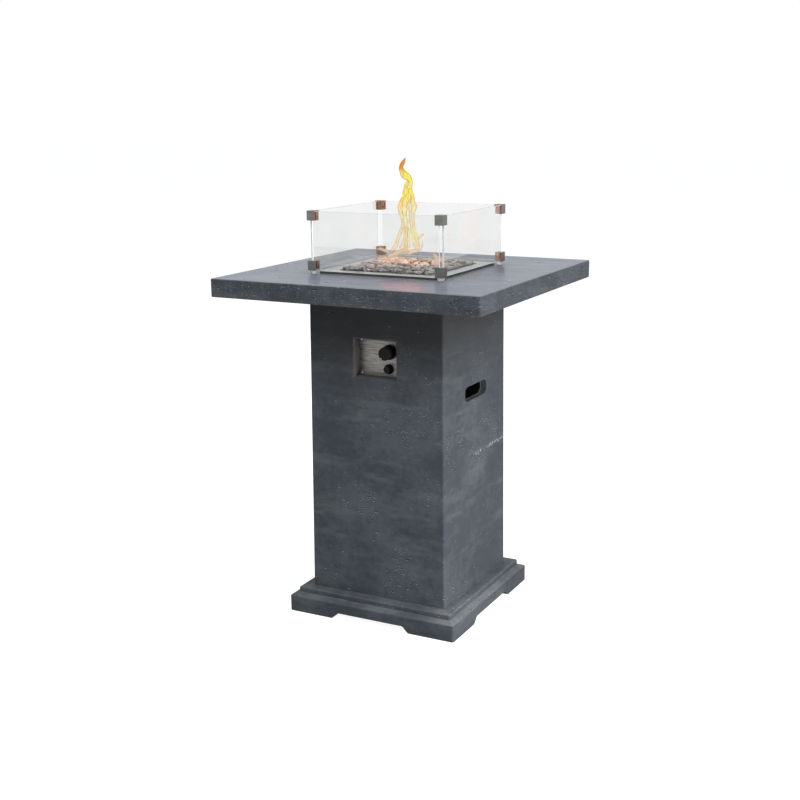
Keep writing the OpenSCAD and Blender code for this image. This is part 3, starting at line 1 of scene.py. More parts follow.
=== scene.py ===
# %% [markdown]
# # A propane fire pit in cast stone
#
# The real object is a tall gas fire table: a square top of cast stone on a tapered column, a stepped base, and
# a glass wind guard round a pan of lava stones in the middle. The solids come from the CAD model and are
# already in place. This file gives them a camera, light and finishes, and makes what flat-sided solids can't
# show, above all the broken, porous stones.

# %% Load the imported model
import json
import math

import bpy
import numpy as np
from mathutils import Matrix, Vector


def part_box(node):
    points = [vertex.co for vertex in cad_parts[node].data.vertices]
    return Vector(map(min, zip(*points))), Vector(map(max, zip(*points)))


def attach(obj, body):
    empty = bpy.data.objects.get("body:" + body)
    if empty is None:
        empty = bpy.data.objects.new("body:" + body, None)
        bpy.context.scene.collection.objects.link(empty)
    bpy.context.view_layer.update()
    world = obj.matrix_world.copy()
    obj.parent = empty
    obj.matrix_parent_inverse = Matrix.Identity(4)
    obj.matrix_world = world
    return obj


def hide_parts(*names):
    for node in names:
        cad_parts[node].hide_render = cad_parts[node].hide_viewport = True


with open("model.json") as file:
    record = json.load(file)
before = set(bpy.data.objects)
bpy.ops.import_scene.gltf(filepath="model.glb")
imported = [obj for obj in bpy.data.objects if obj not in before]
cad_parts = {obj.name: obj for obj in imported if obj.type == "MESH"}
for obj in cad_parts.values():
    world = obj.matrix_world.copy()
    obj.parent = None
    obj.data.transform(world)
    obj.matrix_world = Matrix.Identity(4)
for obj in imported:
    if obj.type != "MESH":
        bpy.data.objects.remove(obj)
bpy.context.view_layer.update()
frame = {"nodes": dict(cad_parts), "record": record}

nodes = frame["nodes"]

# %% [markdown]
# ## The camera
#
# The photograph was taken from the front and a little to the right, slightly above the table top, with a long
# lens. A camera could be aimed by eye, or with a Track To constraint. Here its place is worked out from the
# corners of the table top, the column and the base in the photograph, so it is written as the angles round the
# object, a distance, and a small turn about the line of sight. The small shift puts the middle of the lens
# where the photograph has it.

# %% Set up the camera
def put_in_scene(name, data):
    """Makes an object from a mesh, a lamp or a camera and puts it in the scene."""
    made = bpy.data.objects.new(name, data)
    bpy.context.scene.collection.objects.link(made)
    return made


def aim(azimuth, elevation, roll, distance, target):
    """Gives the camera's place and its axes. Back is the unit arrow from the target to the camera, across is
    level and square to it, and up is back crossed with across. The roll turns across and up about back."""
    a, e, r = np.radians([azimuth, elevation, roll])
    back = np.array([math.sin(a) * math.cos(e), -math.cos(a) * math.cos(e), math.sin(e)])
    across = np.cross([0, 0, 1], back)
    across = across / np.linalg.norm(across)
    up = np.cross(back, across)
    turned = math.cos(r) * across + math.sin(r) * up
    upright = math.cos(r) * up - math.sin(r) * across
    place = Matrix(np.column_stack([turned, upright, back]).tolist()).to_4x4()
    place.translation = Vector(np.array(target) + back * distance)
    return place


lens = bpy.data.cameras.new("photo_camera")
lens.sensor_width = 36
lens.lens = 55.87
lens.shift_x, lens.shift_y = -0.01236, -0.0011
camera = put_in_scene("photo_camera", lens)
camera.matrix_world = aim(
    azimuth=27.22, elevation=13.31, roll=-0.45, distance=3.2124, target=(-0.0001, 0, 0.5377))
bpy.context.scene.camera = camera
print("Camera at", [round(c, 3) for c in camera.matrix_world.translation])

# %% [markdown]
# ## Building shader nodes with short calls
#
# A procedural material is a small graph, and written out in full each node takes five or six lines. A little
# class that makes a node, sets or wires its inputs, and returns an output keeps each finish readable. The
# alternative, one long function with every link spelled out, hides the idea of the finish in the wiring.

# %% A helper for shader graphs
class Graph:
    """Short calls for one node tree. A value given to an input may be a number, a colour or another socket."""

    def __init__(self, tree):
        self.tree = tree
        tree.nodes.clear()

    def node(self, kind, inputs=None, **settings):
        made = self.tree.nodes.new("ShaderNode" + kind)
        for name, value in settings.items():
            setattr(made, name, value)
        for key, value in (inputs or {}).items():
            socket = made.inputs[key]
            if isinstance(value, bpy.types.NodeSocket):
                self.tree.links.new(value, socket)
            elif socket.type == "RGBA" and len(value) == 3:
                socket.default_value = (*value, 1)
            else:
                socket.default_value = value
        return made

    def math(self, operation, *values, clamp=False):
        made = self.node("Math", dict(enumerate(values)), operation=operation, use_clamp=clamp)
        return made.outputs[0]

    def chain(self, operation, first, *others):
        """Joins all the values by one operation, two at a time."""
        for other in others:
            first = self.math(operation, first, other)
        return first

    def times(self, *values):
        return self.chain("MULTIPLY", *values)

    def most(self, *values):
        return self.chain("MAXIMUM", *values)

    def plus(self, a, b, clamp=False):
        return self.math("ADD", a, b, clamp=clamp)

    def minus(self, a, b, clamp=False):
        return self.math("SUBTRACT", a, b, clamp=clamp)

    def size_of(self, value):
        return self.math("ABSOLUTE", value)

    def below(self, value, limit):
        return self.math("LESS_THAN", value, limit)

    def above(self, value, limit):
        return self.math("GREATER_THAN", value, limit)

    def within(self, value, low, high):
        return self.times(self.above(value, low), self.below(value, high))

    def between(self, value, low, high, to_low=0.0, to_high=1.0):
        """A soft step: at low and before it, it is to_low, and at high and past it, to_high."""
        inputs = {0: value, 1: low, 2: high, 3: to_low, 4: to_high}
        return self.node("MapRange", inputs, interpolation_type="SMOOTHSTEP").outputs[0]

    def mix(self, share, a, b):
        return self.node("Mix", {0: share, 6: a, 7: b}, data_type="RGBA").outputs[2]

    def cover(self, under, colour, *shares):
        """Lays a colour over another. How much of it shows is the product of the shares."""
        return self.mix(self.times(*shares), under, colour)

    def vector(self, operation, *values):
        made = self.node("VectorMath", dict(enumerate(values)), operation=operation)
        return made.outputs["Value" if operation == "DOT_PRODUCT" else "Vector"]

    def stretch(self, place, by):
        return self.vector("MULTIPLY", place, by)

    def noise(self, place, scale, detail=3.0, rough=0.5):
        inputs = {"Vector": place, "Scale": scale, "Detail": detail, "Roughness": rough}
        return self.node("TexNoise", inputs).outputs[0]

    def object_place(self):
        return self.node("TexCoord").outputs["Object"]

    def apart(self, vector):
        return self.node("SeparateXYZ", {0: vector}).outputs

    def bump(self, height, distance, strength):
        inputs = {"Height": height, "Distance": distance, "Strength": strength}
        return self.node("Bump", inputs).outputs[0]

    def group(self, name, place, **inputs):
        """Places one of the shared groups below, and gives its outputs by name."""
        group = bpy.data.node_groups[name]
        return self.node("Group", {"Place": place, **inputs}, node_tree=group).outputs

    def give(self, **outputs):
        """Wires the outputs of a group, which completes it."""
        for name, value in outputs.items():
            self.tree.links.new(value, self.end.inputs[name])
        print("Group made:", self.tree.name, "with", len(self.tree.nodes), "nodes")


def new_group(name, wanted, given):
    """Starts a shader group with an input called Place, the wanted inputs, each with its default, and the given
    outputs, all numbers. Returns its graph and its inputs."""
    g = Graph(bpy.data.node_groups.new(name, "ShaderNodeTree"))
    sockets = g.tree.interface
    sockets.new_socket(name="Place", in_out="INPUT", socket_type="NodeSocketVector")
    for label, default in wanted.items():
        kind = "NodeSocketVector" if isinstance(default, tuple) else "NodeSocketFloat"
        sockets.new_socket(name=label, in_out="INPUT", socket_type=kind).default_value = default
    for label in given:
        sockets.new_socket(name=label, in_out="OUTPUT", socket_type="NodeSocketFloat")
    g.end = g.tree.nodes.new("NodeGroupOutput")
    return g, g.tree.nodes.new("NodeGroupInput").outputs


# %% [markdown]
# ## Effects that several finishes share
#
# Five effects turn up again and again on this object, so each is one node group with its own numbers.
# *Clouds* is the uneven tone of cast, painted and plated surfaces. *Pits* are the small round or long holes
# that air leaves in cast stone and gas leaves in lava. *Brushing* is the fine parallel grain of a belt-ground
# sheet. *Worn and highlit edges* finds the arrises, where paint and stone lose their skin first, and where the
# stone and the steels also get a painted highlight: the Bevel node rounds the normal near an edge, and where it
# differs from the true normal there is an edge. *Dust* gathers on what faces up. Painting these by hand on each
# piece would give the same look only for one size and one pose.

# %% The clouds group
g, start = new_group("Clouds", {"Size": 0.1, "Grain": 0.3}, ["Tone"])
coarse = g.noise(start["Place"], g.math("DIVIDE", 1.0, start["Size"]), 4, 0.55)
fine = g.noise(start["Place"], g.math("DIVIDE", 9.0, start["Size"]), 3, 0.6)
g.give(Tone=g.plus(coarse, g.times(g.minus(fine, 0.5), start["Grain"]), clamp=True))

# %% The pits group
# Voronoi cells give each pit its own place. A pit is the round middle of a cell, and a cell has one only when
# its random number is under the share asked for. Squeezing Place along an axis makes the pits long across it.
# The same cells read a little higher up give the lower lip, the crescent that gets a painted highlight in the
# stone, as if light from above caught it.
def pit_in_cell(g, place, start):
    """One where the distance to the cell's middle is well under its width, zero outside, only in chosen
    cells. The width of a pit is the width asked for times a random number between 0.45 and 1.2."""
    cells = g.node("TexVoronoi", {"Vector": place, "Scale": g.math("DIVIDE", 1.0, start["Size"])}).outputs
    number = g.node("SeparateColor", {0: cells["Color"]}).outputs
    width = g.times(start["Width"], g.plus(0.45, g.times(number[1], 0.75)))
    inside = g.node("MapRange", {0: cells["Distance"], 1: width, 2: g.times(width, 0.55)})
    return g.times(inside.outputs[0], g.below(number[0], start["Share"]))


g, start = new_group(
    "Pits", {"Size": 0.01, "Share": 0.2, "Width": 0.35, "Lift": (0.0, 0.0, 0.0)}, ["Pit", "Lip"])
waver = g.node("TexNoise", {"Vector": start["Place"], "Scale": g.math("DIVIDE", 1.3, start["Size"])})
shift = g.vector("SUBTRACT", waver.outputs["Color"], (0.5, 0.5, 0.5))
shift = g.node("VectorMath", {0: shift, "Scale": start["Size"]}, operation="SCALE").outputs[0]
place = g.vector("ADD", start["Place"], shift)
pit = pit_in_cell(g, place, start)
higher = pit_in_cell(g, g.vector("ADD", place, start["Lift"]), start)
g.give(Pit=pit, Lip=g.minus(higher, pit, clamp=True))

# %% The brushing group
# Noise squeezed hard along one axis turns into lines. Along holds how quickly the tone changes on each axis.
# The scratches are the peaks of a second noise, read at a place a few units further on.
g, start = new_group("Brushing", {"Along": (6.0, 900.0, 900.0)}, ["Streak", "Scratch"])
place = g.stretch(start["Place"], start["Along"])
few = g.noise(g.vector("ADD", place, (3.1, 1.7, 5.3)), 0.45, 2)
g.give(Streak=g.noise(place, 1.0, 4, 0.65), Scratch=g.between(few, 0.66, 0.74))

# %% The worn and highlit edges group
# Patch is the size of the stretches in which an edge is worn or still whole.
g, start = new_group("Worn and highlit edges", {"Width": 0.002, "Patch": 0.02}, ["Edge"])
rounded = g.node("Bevel", {"Radius": start["Width"]}, samples=4).outputs[0]
along = g.vector("DOT_PRODUCT", rounded, g.node("NewGeometry").outputs["Normal"])
broken = g.noise(start["Place"], g.math("DIVIDE", 1.0, start["Patch"]), 4, 0.65)
g.give(Edge=g.times(g.between(along, 0.995, 0.90), g.between(broken, 0.35, 0.62)))

# %% The dust group
g, start = new_group("Dust", {"Amount": 0.4}, ["Dust", "Up"])
up = g.between(g.apart(g.node("NewGeometry").outputs["Normal"])[2], 0.55, 0.95)
patchy = g.between(g.noise(start["Place"], 14.0, 4, 0.6), 0.3, 0.75, 0.35, 1.0)
g.give(Dust=g.times(up, patchy, start["Amount"]), Up=up)


# %% [markdown]
# ## Giving a finish to a material and a material to a solid
#
# Each finish ends in one Principled shader. Numbers that are the same all over it are set on the shader
# itself, and only what changes over the surface comes from nodes.

# %% Start and end a finish
finishes = {}


def start_finish(name):
    """Makes an empty material, keeps it under its name, and returns its graph."""
    finishes[name] = bpy.data.materials.new(name)
    finishes[name].use_nodes = True
    return Graph(finishes[name].node_tree)


def end_finish(g, inputs):
    """Adds the Principled shader with these inputs and joins it to the output."""
    shader = g.node("BsdfPrincipled", inputs)
    g.node("OutputMaterial", {"Surface": shader.outputs[0]})
    return shader


# %% [markdown]
# ## Cast stone
#
# The top, column, door and base are a cement mix with glass fibre, cast in moulds and tinted a blue-grey
# charcoal. The skin has soft clouds and darker blots, and air pits drawn out sideways that lie in flocks: thick
# on the edges of the top, here and there on the column, each darkened with painted shade and with a painted
# highlight on its lower lip. A trowel leaves long streaks on the top face, which is sealed, so it mirrors pale
# surroundings at a low angle. That sealer is the coat of the shader: its weight comes from a mask of what faces
# up near the top, and its roughness is plain. A pale blue painted reflection, strongest on the streaks, lies
# over the top too. The arrises are paler, partly worn skin and partly a painted highlight; the column is
# painted darker under the top, a painted shade; and the steps of the base carry dust, with painted light making
# them paler on the right.
# Inside, where nobody looks, the casting is bare grey cement. A chain of pale crumbs, where the skin has broken
# over a seam in the fill, runs over the right side of the column at half its height, with a belt of pits round
# it. One image of stone would be simpler, but it would repeat, and it couldn't know where the edges are.

# %% Measure the castings
slab_under, slab_face = (corner[2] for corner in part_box("table_slab"))
base_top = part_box("plinth")[1][2]
draft = 0.0065  # how much the column's half width shrinks with each metre of height
half_at_floor = 0.1889  # that half width, carried down to the floor
on_base = (base_top + 0.0135, base_top + 0.0035)  # a soft step on z, from the column down to the base
on_right = (0.17, 0.18)  # a soft step on x, to just inside the column's right face
recess_half, recess_depth, recess_rise = 0.075, (-0.1832, -0.150), (0.60, 0.75)  # its limits on x, y, z
belt_height = 0.455  # the middle of the belt of pits on the right face
print("Heights in mm: base", round(base_top * 1000, 1), "top", round(slab_face * 1000, 1))


# %% Place the pits on the stone
def stone_pits(g, place):
    """Three kinds of pit: big, fine and long. The share of cells that have one is a base value plus what two
    noises, one for the flocks and one for the gaps inside a flock, allow. It is highest on the edges of the top
    and in the belt on the right."""
    x, y, z = g.apart(place)
    rim = g.times(g.between(z, slab_under - 0.013, slab_under - 0.007),
                  g.between(z, slab_face, slab_face - 0.004))
    flock = g.between(g.noise(place, 6.5, 3, 0.6), 0.52, 0.66)
    knots = g.between(g.noise(place, 34.0, 2), 0.42, 0.62)
    crowd = g.times(g.most(flock, g.times(rim, 0.75)), knots)
    crowd = g.plus(g.times(crowd, 0.46), g.plus(0.004, g.times(rim, 0.06)))
    from_belt = g.size_of(g.minus(z, belt_height))
    belt = g.times(g.between(from_belt, 0.060, 0.020), g.between(x, *on_right),
                   g.between(g.noise(place, 17.0, 2), 0.48, 0.60))
    crowd = g.plus(crowd, g.times(belt, 0.30))
    kinds = [  # squeeze on z, size, share, width, and how much higher the lip is read
        (2.3, 0.0085, crowd, 0.40, 0.0030),
        (1.6, 0.0042, crowd, 0.42, 0.0018),
        (6.0, 0.021, g.times(crowd, 0.30), 0.36, 0.008),
    ]
    big, fine, gouges = (
        g.group("Pits", g.stretch(place, (1, 1, squeeze)),
                Size=size, Share=share, Width=width, Lift=(0, 0, lift))
        for squeeze, size, share, width, lift in kinds)
    painted_lip_highlight = g.most(big["Lip"], fine["Lip"], g.times(gouges["Lip"], 0.7))
    return g.most(big["Pit"], fine["Pit"], gouges["Pit"]), painted_lip_highlight


def pale_chain(g, place, height, start, strong):
    """Crumbs round a wavy line at one height of the right side. They get rarer away from the line."""
    x, y, z = g.apart(place)
    sway = g.times(g.minus(g.noise(g.stretch(place, (0, 14, 0)), 1.0, 5, 0.7), 0.5), 0.022)
    off = g.size_of(g.minus(g.minus(z, height), sway))
    near = g.times(g.between(off, 0.0068, 0.0005), g.between(x, *on_right), g.between(y, start, start + 0.05),
                   g.between(g.noise(place, 30.0, 2), 0.32, 0.50, 0.15, strong))
    return g.group("Pits", g.stretch(place, (1, 1, 1.7)), Size=0.0040, Share=near, Width=0.68)["Pit"]


def square_reach(g, x, y):
    """How far out a point lies, measured on a square: the larger of |x| and |y|."""
    return g.most(g.size_of(x), g.size_of(y))


def bare_cement(g, x, y, z):
    """Two masks. Inner is what lies over 15 mm inside the drafted faces: the reach plus the draft times z is
    under the half width less 15 mm. Recess is the pocket round the control plate."""
    drafted = g.plus(square_reach(g, x, y), g.times(z, draft))
    inner = g.times(g.below(drafted, half_at_floor - 0.015), g.below(z, slab_under - 0.002))
    recess = g.times(g.within(y, *recess_depth), g.within(z, *recess_rise),
                     g.below(g.size_of(x), recess_half))
    return g.minus(inner, recess, clamp=True), recess


# %% Make the cast stone
def cast_stone():
    g = start_finish("cast_stone")
    place = g.object_place()
    x, y, z = g.apart(place)
    clouds = g.group("Clouds", place, Size=0.15, Grain=0.4)["Tone"]
    blots = g.group("Clouds", g.stretch(place, (1, 1, 1.5)), Size=0.045, Grain=0.7)["Tone"]
    smears = g.noise(g.stretch(place, (8, 8, 34)), 1.0, 6, 0.62)
    skin = g.mix(g.between(clouds, 0.34, 0.66), (0.050, 0.058, 0.069), (0.083, 0.093, 0.107))
    skin = g.cover(skin, (0.036, 0.041, 0.050), g.between(blots, 0.50, 0.68, 0.0, 0.34))
    skin = g.cover(skin, (0.130, 0.144, 0.152), g.between(smears, 0.48, 0.72, 0.0, 0.42))
    # painted shade under the overhang of the top: the column is painted darker from 0.52 m up to the top's
    # underside
    painted_shade_under_top = g.times(g.between(z, 0.52, 0.80), g.between(z, slab_under + 0.001, slab_under - 0.001))
    skin = g.cover(skin, (0.036, 0.0355, 0.034), painted_shade_under_top, 0.78)
    # the trowel works along the top, so its streaks show only on what faces up; the pale blue laid over the
    # top, strongest on the streaks, is a painted reflection of pale surroundings
    dust = g.group("Dust", place, Amount=0.35)
    trowel = g.group("Brushing", place, Along=(6.0, 95.0, 95.0))["Streak"]
    top = g.times(dust["Up"], g.between(z, slab_face - 0.004, slab_face - 0.001))
    skin = g.cover(skin, (0.135, 0.163, 0.215), top, g.between(trowel, 0.36, 0.70, 0.25, 0.8))
    pit, painted_lip_highlight = stone_pits(g, place)
    # painted shade darkens the pits, which the bump also sinks, and a painted highlight lightens each lower lip
    skin = g.cover(skin, (0.014, 0.016, 0.018), pit, 0.78)
    skin = g.cover(skin, (0.38, 0.395, 0.40), painted_lip_highlight, 0.65)
    crumbs = g.most(pale_chain(g, place, height=0.415, start=-0.02, strong=1.0),
                    pale_chain(g, place, height=0.448, start=0.06, strong=0.22))
    skin = g.cover(skin, (0.46, 0.48, 0.49), crumbs, 0.9)
    # pale arrises: partly worn skin and partly a painted highlight, strongest on the base
    edges = g.group("Worn and highlit edges", place, Width=0.0022, Patch=0.03)["Edge"]
    skin = g.cover(skin, (0.23, 0.25, 0.27), edges, g.between(z, *on_base, 0.55, 0.90))
    # the recess is given a warmer brown-grey, and the back of each casting is raw
    inner, recess = bare_cement(g, x, y, z)
    skin = g.cover(skin, (0.098, 0.084, 0.080), recess, 0.75)
    raw = g.mix(g.noise(place, 22.0, 5, 0.7), (0.20, 0.20, 0.195), (0.33, 0.33, 0.32))
    skin = g.cover(skin, raw, inner, 0.8)
    # dust lies on the steps of the base; the extra paleness on the right is painted light from that side
    right = g.times(g.between(x, 0.150, 0.215, 0.0, 2.2), g.below(z, base_top + 0.0085))
    step_dust_and_light = g.times(dust["Dust"], g.between(z, *on_base, 0.30, 0.42), g.plus(1.0, right))
    skin = g.cover(skin, (0.34, 0.35, 0.36), step_dust_and_light)
    height = g.minus(g.times(clouds, 0.4), g.times(pit, 1.2))
    height = g.plus(height, g.times(g.noise(place, 380.0, 3, 0.6), 0.30))
    rough = g.plus(g.between(clouds, 0.2, 0.8, 0.66, 0.82), g.times(pit, 0.25), clamp=True)
    end_finish(g, {
        "Base Color": skin, "Roughness": rough, "Normal": g.bump(height, 0.0010, 0.75),
        "Specular IOR Level": 0.12, "Coat Weight": g.times(top, 0.37), "Coat Roughness": 0.20, "Coat IOR": 1.5,
    })


cast_stone()
print("Finish made: cast_stone, with", len(finishes["cast_stone"].node_tree.nodes), "nodes")

# %% [markdown]
# ## Steels
#
# Stainless sheet is bought already brushed, and the grain runs one way over each piece. On the control plate
# it wavers a little, as grain in wood does, and that plate is painted darker, a painted shade of its recess.
# The guard's clamps are cast, then brushed darker, and the faces that look at the fire take a bronze that is
# partly heat tint and partly painted firelight. Screws and hinges are zinc plated, which is duller and slightly
# mottled.
# One function makes them all, because only the colour, the direction of the grain, its depth, what heat has
# done and the painted light and shade differ. Near the burner the steel has been hot, and takes a straw and
# blue tint there. The pan's flange is painted dark past its rim, a painted shadow, and the arrises of every
# steel are paler, partly wear and partly a painted highlight.

# %% Make the steels
def facing_fire(g, place):
    """How squarely a face looks at the middle of the table: minus the normal times the unit arrow outwards."""
    outwards = g.vector("NORMALIZE", g.stretch(place, (1, 1, 0)))
    return g.times(g.vector("DOT_PRODUCT", outwards, g.node("NewGeometry").outputs["Normal"]), -1.0)


def steel(name, pale, dark, along, depth, rough, hot=0.0, heat_tint_and_firelight=0.0, painted_rim_shade=0.0, wave=0.0):
    """Along holds how quickly the grain changes on each axis, and depth is how deep it is in metres. A sheet
    given a rim distance is painted dark past it, counted from the middle: a painted shadow along the flange's
    outer edge, where its arrises also get less of the pale edge colour."""
    g = start_finish(name)
    place = g.object_place()
    if hot or painted_rim_shade:
        x, y, z = g.apart(place)
    brushed = place
    if wave:
        sway = g.minus(g.noise(g.stretch(place, (90, 90, 120)), 1.0, 3, 0.6), 0.5)
        brushed = g.vector("ADD", place, g.node("CombineXYZ", {2: g.times(sway, wave)}).outputs[0])
    grain = g.group("Brushing", brushed, Along=along)
    streak = grain["Streak"]
    clouds = g.group("Clouds", place, Size=0.03, Grain=0.5)["Tone"]
    colour = g.mix(g.between(streak, 0.3, 0.7), dark, pale)
    colour = g.cover(colour, tuple(c * 0.7 for c in dark), g.between(clouds, 0.35, 0.75, 0.0, 0.3))
    if hot:
        # the tint is full within 50 mm of the burner's axis and ends at 135 mm
        out = g.math("SQRT", g.plus(g.times(x, x), g.times(y, y)))
        near = g.times(g.between(out, 0.135, 0.05), g.between(z, 0.80, 0.835))
        colour = g.cover(colour, (0.42, 0.27, 0.13), near, g.between(clouds, 0.2, 0.6, 0.3, 1.0), hot)
        colour = g.cover(colour, (0.13, 0.15, 0.27), near, g.between(clouds, 0.55, 0.75), hot)
    # a bronze on faces that look at the fire: partly heat tint and partly painted firelight
    if heat_tint_and_firelight:
        blot = g.group("Clouds", place, Size=0.012, Grain=0.8)["Tone"]
        colour = g.cover(colour, (0.42, 0.17, 0.08), g.between(facing_fire(g, place), 0.25, 0.6),
                         g.between(blot, 0.3, 0.62, 0.45, 1.0), heat_tint_and_firelight)
    # painted shadow: the sheet is painted dark past the flange's rim, along its outer edge
    if painted_rim_shade:
        colour = g.cover(colour, (0.10, 0.095, 0.09), g.above(square_reach(g, x, y), painted_rim_shade))
    # pale arrises: partly wear and partly a painted highlight, less of it past the flange's rim
    edges = g.group("Worn and highlit edges", place, Width=0.0008, Patch=0.006)["Edge"]
    colour = g.cover(colour, (0.78, 0.78, 0.76), edges, 0.2 if painted_rim_shade else 0.5)
    height = g.minus(streak, g.times(grain["Scratch"], 0.6))
    end_finish(g, {
        "Base Color": colour, "Metallic": 1.0, "Normal": g.bump(height, depth, 0.6),
        "Roughness": g.between(streak, 0.2, 0.8, rough - 0.08, rough + 0.1),
    })


sheet_grain = (14, 700, 700)
flange_edge = 0.1656
steel("brushed_steel", (0.60, 0.59, 0.56), (0.40, 0.40, 0.38), sheet_grain, 0.00012, 0.34, hot=0.7)
# the control plate's steel is painted darker: a painted shade of the recess it sits in
steel("shaded_plate_steel", (0.26, 0.255, 0.24), (0.115, 0.112, 0.106), (22, 700, 330), 0.00014, 0.46, wave=0.010)
steel("bracket_steel", (0.215, 0.215, 0.20), (0.13, 0.13, 0.122), (40, 40, 1400), 0.0001, 0.36, heat_tint_and_firelight=0.9)
steel("pan_steel", (0.58, 0.59, 0.59), (0.42, 0.43, 0.43), sheet_grain, 0.00012, 0.34, hot=0.7,
      painted_rim_shade=flange_edge)
steel("zinc_steel", (0.78, 0.79, 0.80), (0.60, 0.61, 0.62), (150, 150, 400), 0.00005, 0.32)
steel("feed_alloy", (0.80, 0.80, 0.80), (0.68, 0.68, 0.68), (60, 60, 500), 0.00004, 0.28)
print("Finishes so far:", list(finishes))

# %% [markdown]
# ## Painted metal
#
# The brackets, the tray and the hose clips inside are powder coated, a thick paint baked on, with the faint
# dimples called orange peel. The gas cylinder is sprayed with pale grey enamel, which gets scuffed round its
# belly and foot, where it stands on wet paving and the edges rust. Both are the same idea: a paint, its
# dimples, and what shows where it has gone.

# %% Make the paints
def paint(name, colour, under, peel, rough, shine, wear, scuff):
    """Under is what shows where the paint has gone, wear of it on the edges and scuff of it in scratches. Peel
    is how many dimples there are to the metre, and dust takes the shine off what faces up."""
    g = start_finish(name)
    place = g.object_place()
    clouds = g.group("Clouds", place, Size=0.08, Grain=0.4)["Tone"]
    dust = g.group("Dust", place, Amount=0.5)["Dust"]
    edges = g.group("Worn and highlit edges", place, Width=0.0015, Patch=0.008)["Edge"]
    marks = g.group("Brushing", place, Along=(45.0, 45.0, 260.0))["Scratch"]
    skin = g.mix(g.between(clouds, 0.3, 0.7), tuple(c * 0.9 for c in colour), colour)
    skin = g.cover(skin, under, marks, g.between(clouds, 0.5, 0.65), scuff)
    skin = g.cover(skin, under, edges, wear)
    skin = g.cover(skin, (0.36, 0.34, 0.31), dust, 0.35)
    end_finish(g, {
        "Base Color": skin, "Roughness": g.between(clouds, 0.2, 0.8, rough - 0.05, rough + 0.08),
        "Normal": g.bump(g.noise(place, peel, 2, 0.4), 0.0003, 0.35),
        "Coat Weight": g.minus(shine, g.times(dust, shine), clamp=True), "Coat Roughness": 0.12,
    })


paint("black_steel", (0.022, 0.022, 0.023), (0.30, 0.29, 0.28),
      peel=900, rough=0.48, shine=0.1, wear=0.7, scuff=0.3)
paint("tank_enamel", (0.62, 0.64, 0.63), (0.22, 0.14, 0.09),
      peel=350, rough=0.34, shine=0.5, wear=0.75, scuff=0.35)
print("Paints made: black_steel, tank_enamel")

# %% [markdown]
# ## Brass and cast alloy
#
# The valve, fittings and orifice are turned from brass bar, bright where the tool left fine rings and brown
# where hands and air have dulled it. The regulator is die-cast alloy, satin with a fine sandy skin.

# %% Make the brass and the cast alloy
def gas_metal(name, bright, dull, patch, rough, sand):
    """Patch is the size of the dulled places, and sand how much of the height is grit rather than rings."""
    g = start_finish(name)
    place = g.object_place()
    clouds = g.group("Clouds", place, Size=patch, Grain=0.5)["Tone"]
    rings = g.group("Brushing", place, Along=(90.0, 90.0, 1800.0))["Streak"]
    edges = g.group("Worn and highlit edges", place, Width=0.0008, Patch=0.006)["Edge"]
    colour = g.mix(g.between(clouds, 0.35, 0.7), bright, dull)
    colour = g.cover(colour, tuple(min(1, c * 1.15) for c in bright), edges, 0.6)
    height = g.plus(rings, g.times(g.noise(place, 1500.0, 2, 0.6), sand))
    end_finish(g, {
        "Base Color": colour, "Metallic": 1.0, "Normal": g.bump(height, 0.00008, 0.5),
        "Roughness": g.between(clouds, 0.3, 0.8, rough, rough + 0.18),
    })


gas_metal("brass", (0.76, 0.57, 0.28), (0.50, 0.34, 0.16), patch=0.02, rough=0.24, sand=0.2)
gas_metal("cast_alloy", (0.60, 0.61, 0.62), (0.44, 0.45, 0.46), patch=0.03, rough=0.38, sand=2.0)
print("Gas metals made: brass, cast_alloy")


# %% [markdown]
# ## Plastics, rubber and ceramic
#
# The knob, the igniter, the handwheel and the coupling nut are moulded black plastic with a fine spark-eroded
# texture and slightly shiny edges where fingers rub. A small pale dot lies near the rim of the knob's face.
# The hose is extruded rubber with a bloom of grey. The spark electrode runs through a glazed white ceramic
# sleeve, smoked brown at its hot end. The battery in the igniter has a plain dark sleeve with a copper band.
# The dot, the smoke and the band could be pieces of their own, but they have no thickness worth a mesh, so
# each is a mask in the finish that lies where the part is.

# %% Make the plastics, the rubber and the ceramic
def moulded(name, colour, worn, texture, deep, rough, coat=0.0, gloss=0.2):
    """Texture is how many bumps there are to the metre, and deep how high they are. Returns the graph and the
    shader, so that a mark can be laid over the skin."""
    g = start_finish(name)
    place = g.object_place()
    clouds = g.group("Clouds", place, Size=0.04, Grain=0.6)["Tone"]
    edges = g.group("Worn and highlit edges", place, Width=0.0009, Patch=0.005)["Edge"]
    dust = g.group("Dust", place, Amount=0.3)["Dust"]
    skin = g.mix(g.between(clouds, 0.3, 0.75), colour, tuple(c * 1.35 for c in colour))
    skin = g.cover(skin, worn, edges, 0.5)
    skin = g.cover(skin, (0.3, 0.29, 0.28), dust, 0.3)
    rubbed = g.minus(g.between(clouds, 0.25, 0.8, rough - 0.07, rough + 0.1), g.times(edges, 0.12))
    shader = end_finish(g, {
        "Base Color": skin, "Roughness": rubbed, "Normal": g.bump(g.noise(place, texture, 3, 0.6), deep, 0.4),
        "Coat Weight": coat, "Coat Roughness": 0.1, "Specular IOR Level": gloss,
    })
    return g, shader


def mark(g, shader, mask, colour):
    """Lays a colour over the skin where the mask is one."""
    skin = shader.inputs["Base Color"]
    g.tree.links.new(g.cover(skin.links[0].from_socket, colour, mask), skin)


g, shader = moulded(
    "black_plastic", (0.0062, 0.0064, 0.0060), (0.04, 0.04, 0.04), 1600, 0.00015, rough=0.50, gloss=0.10)
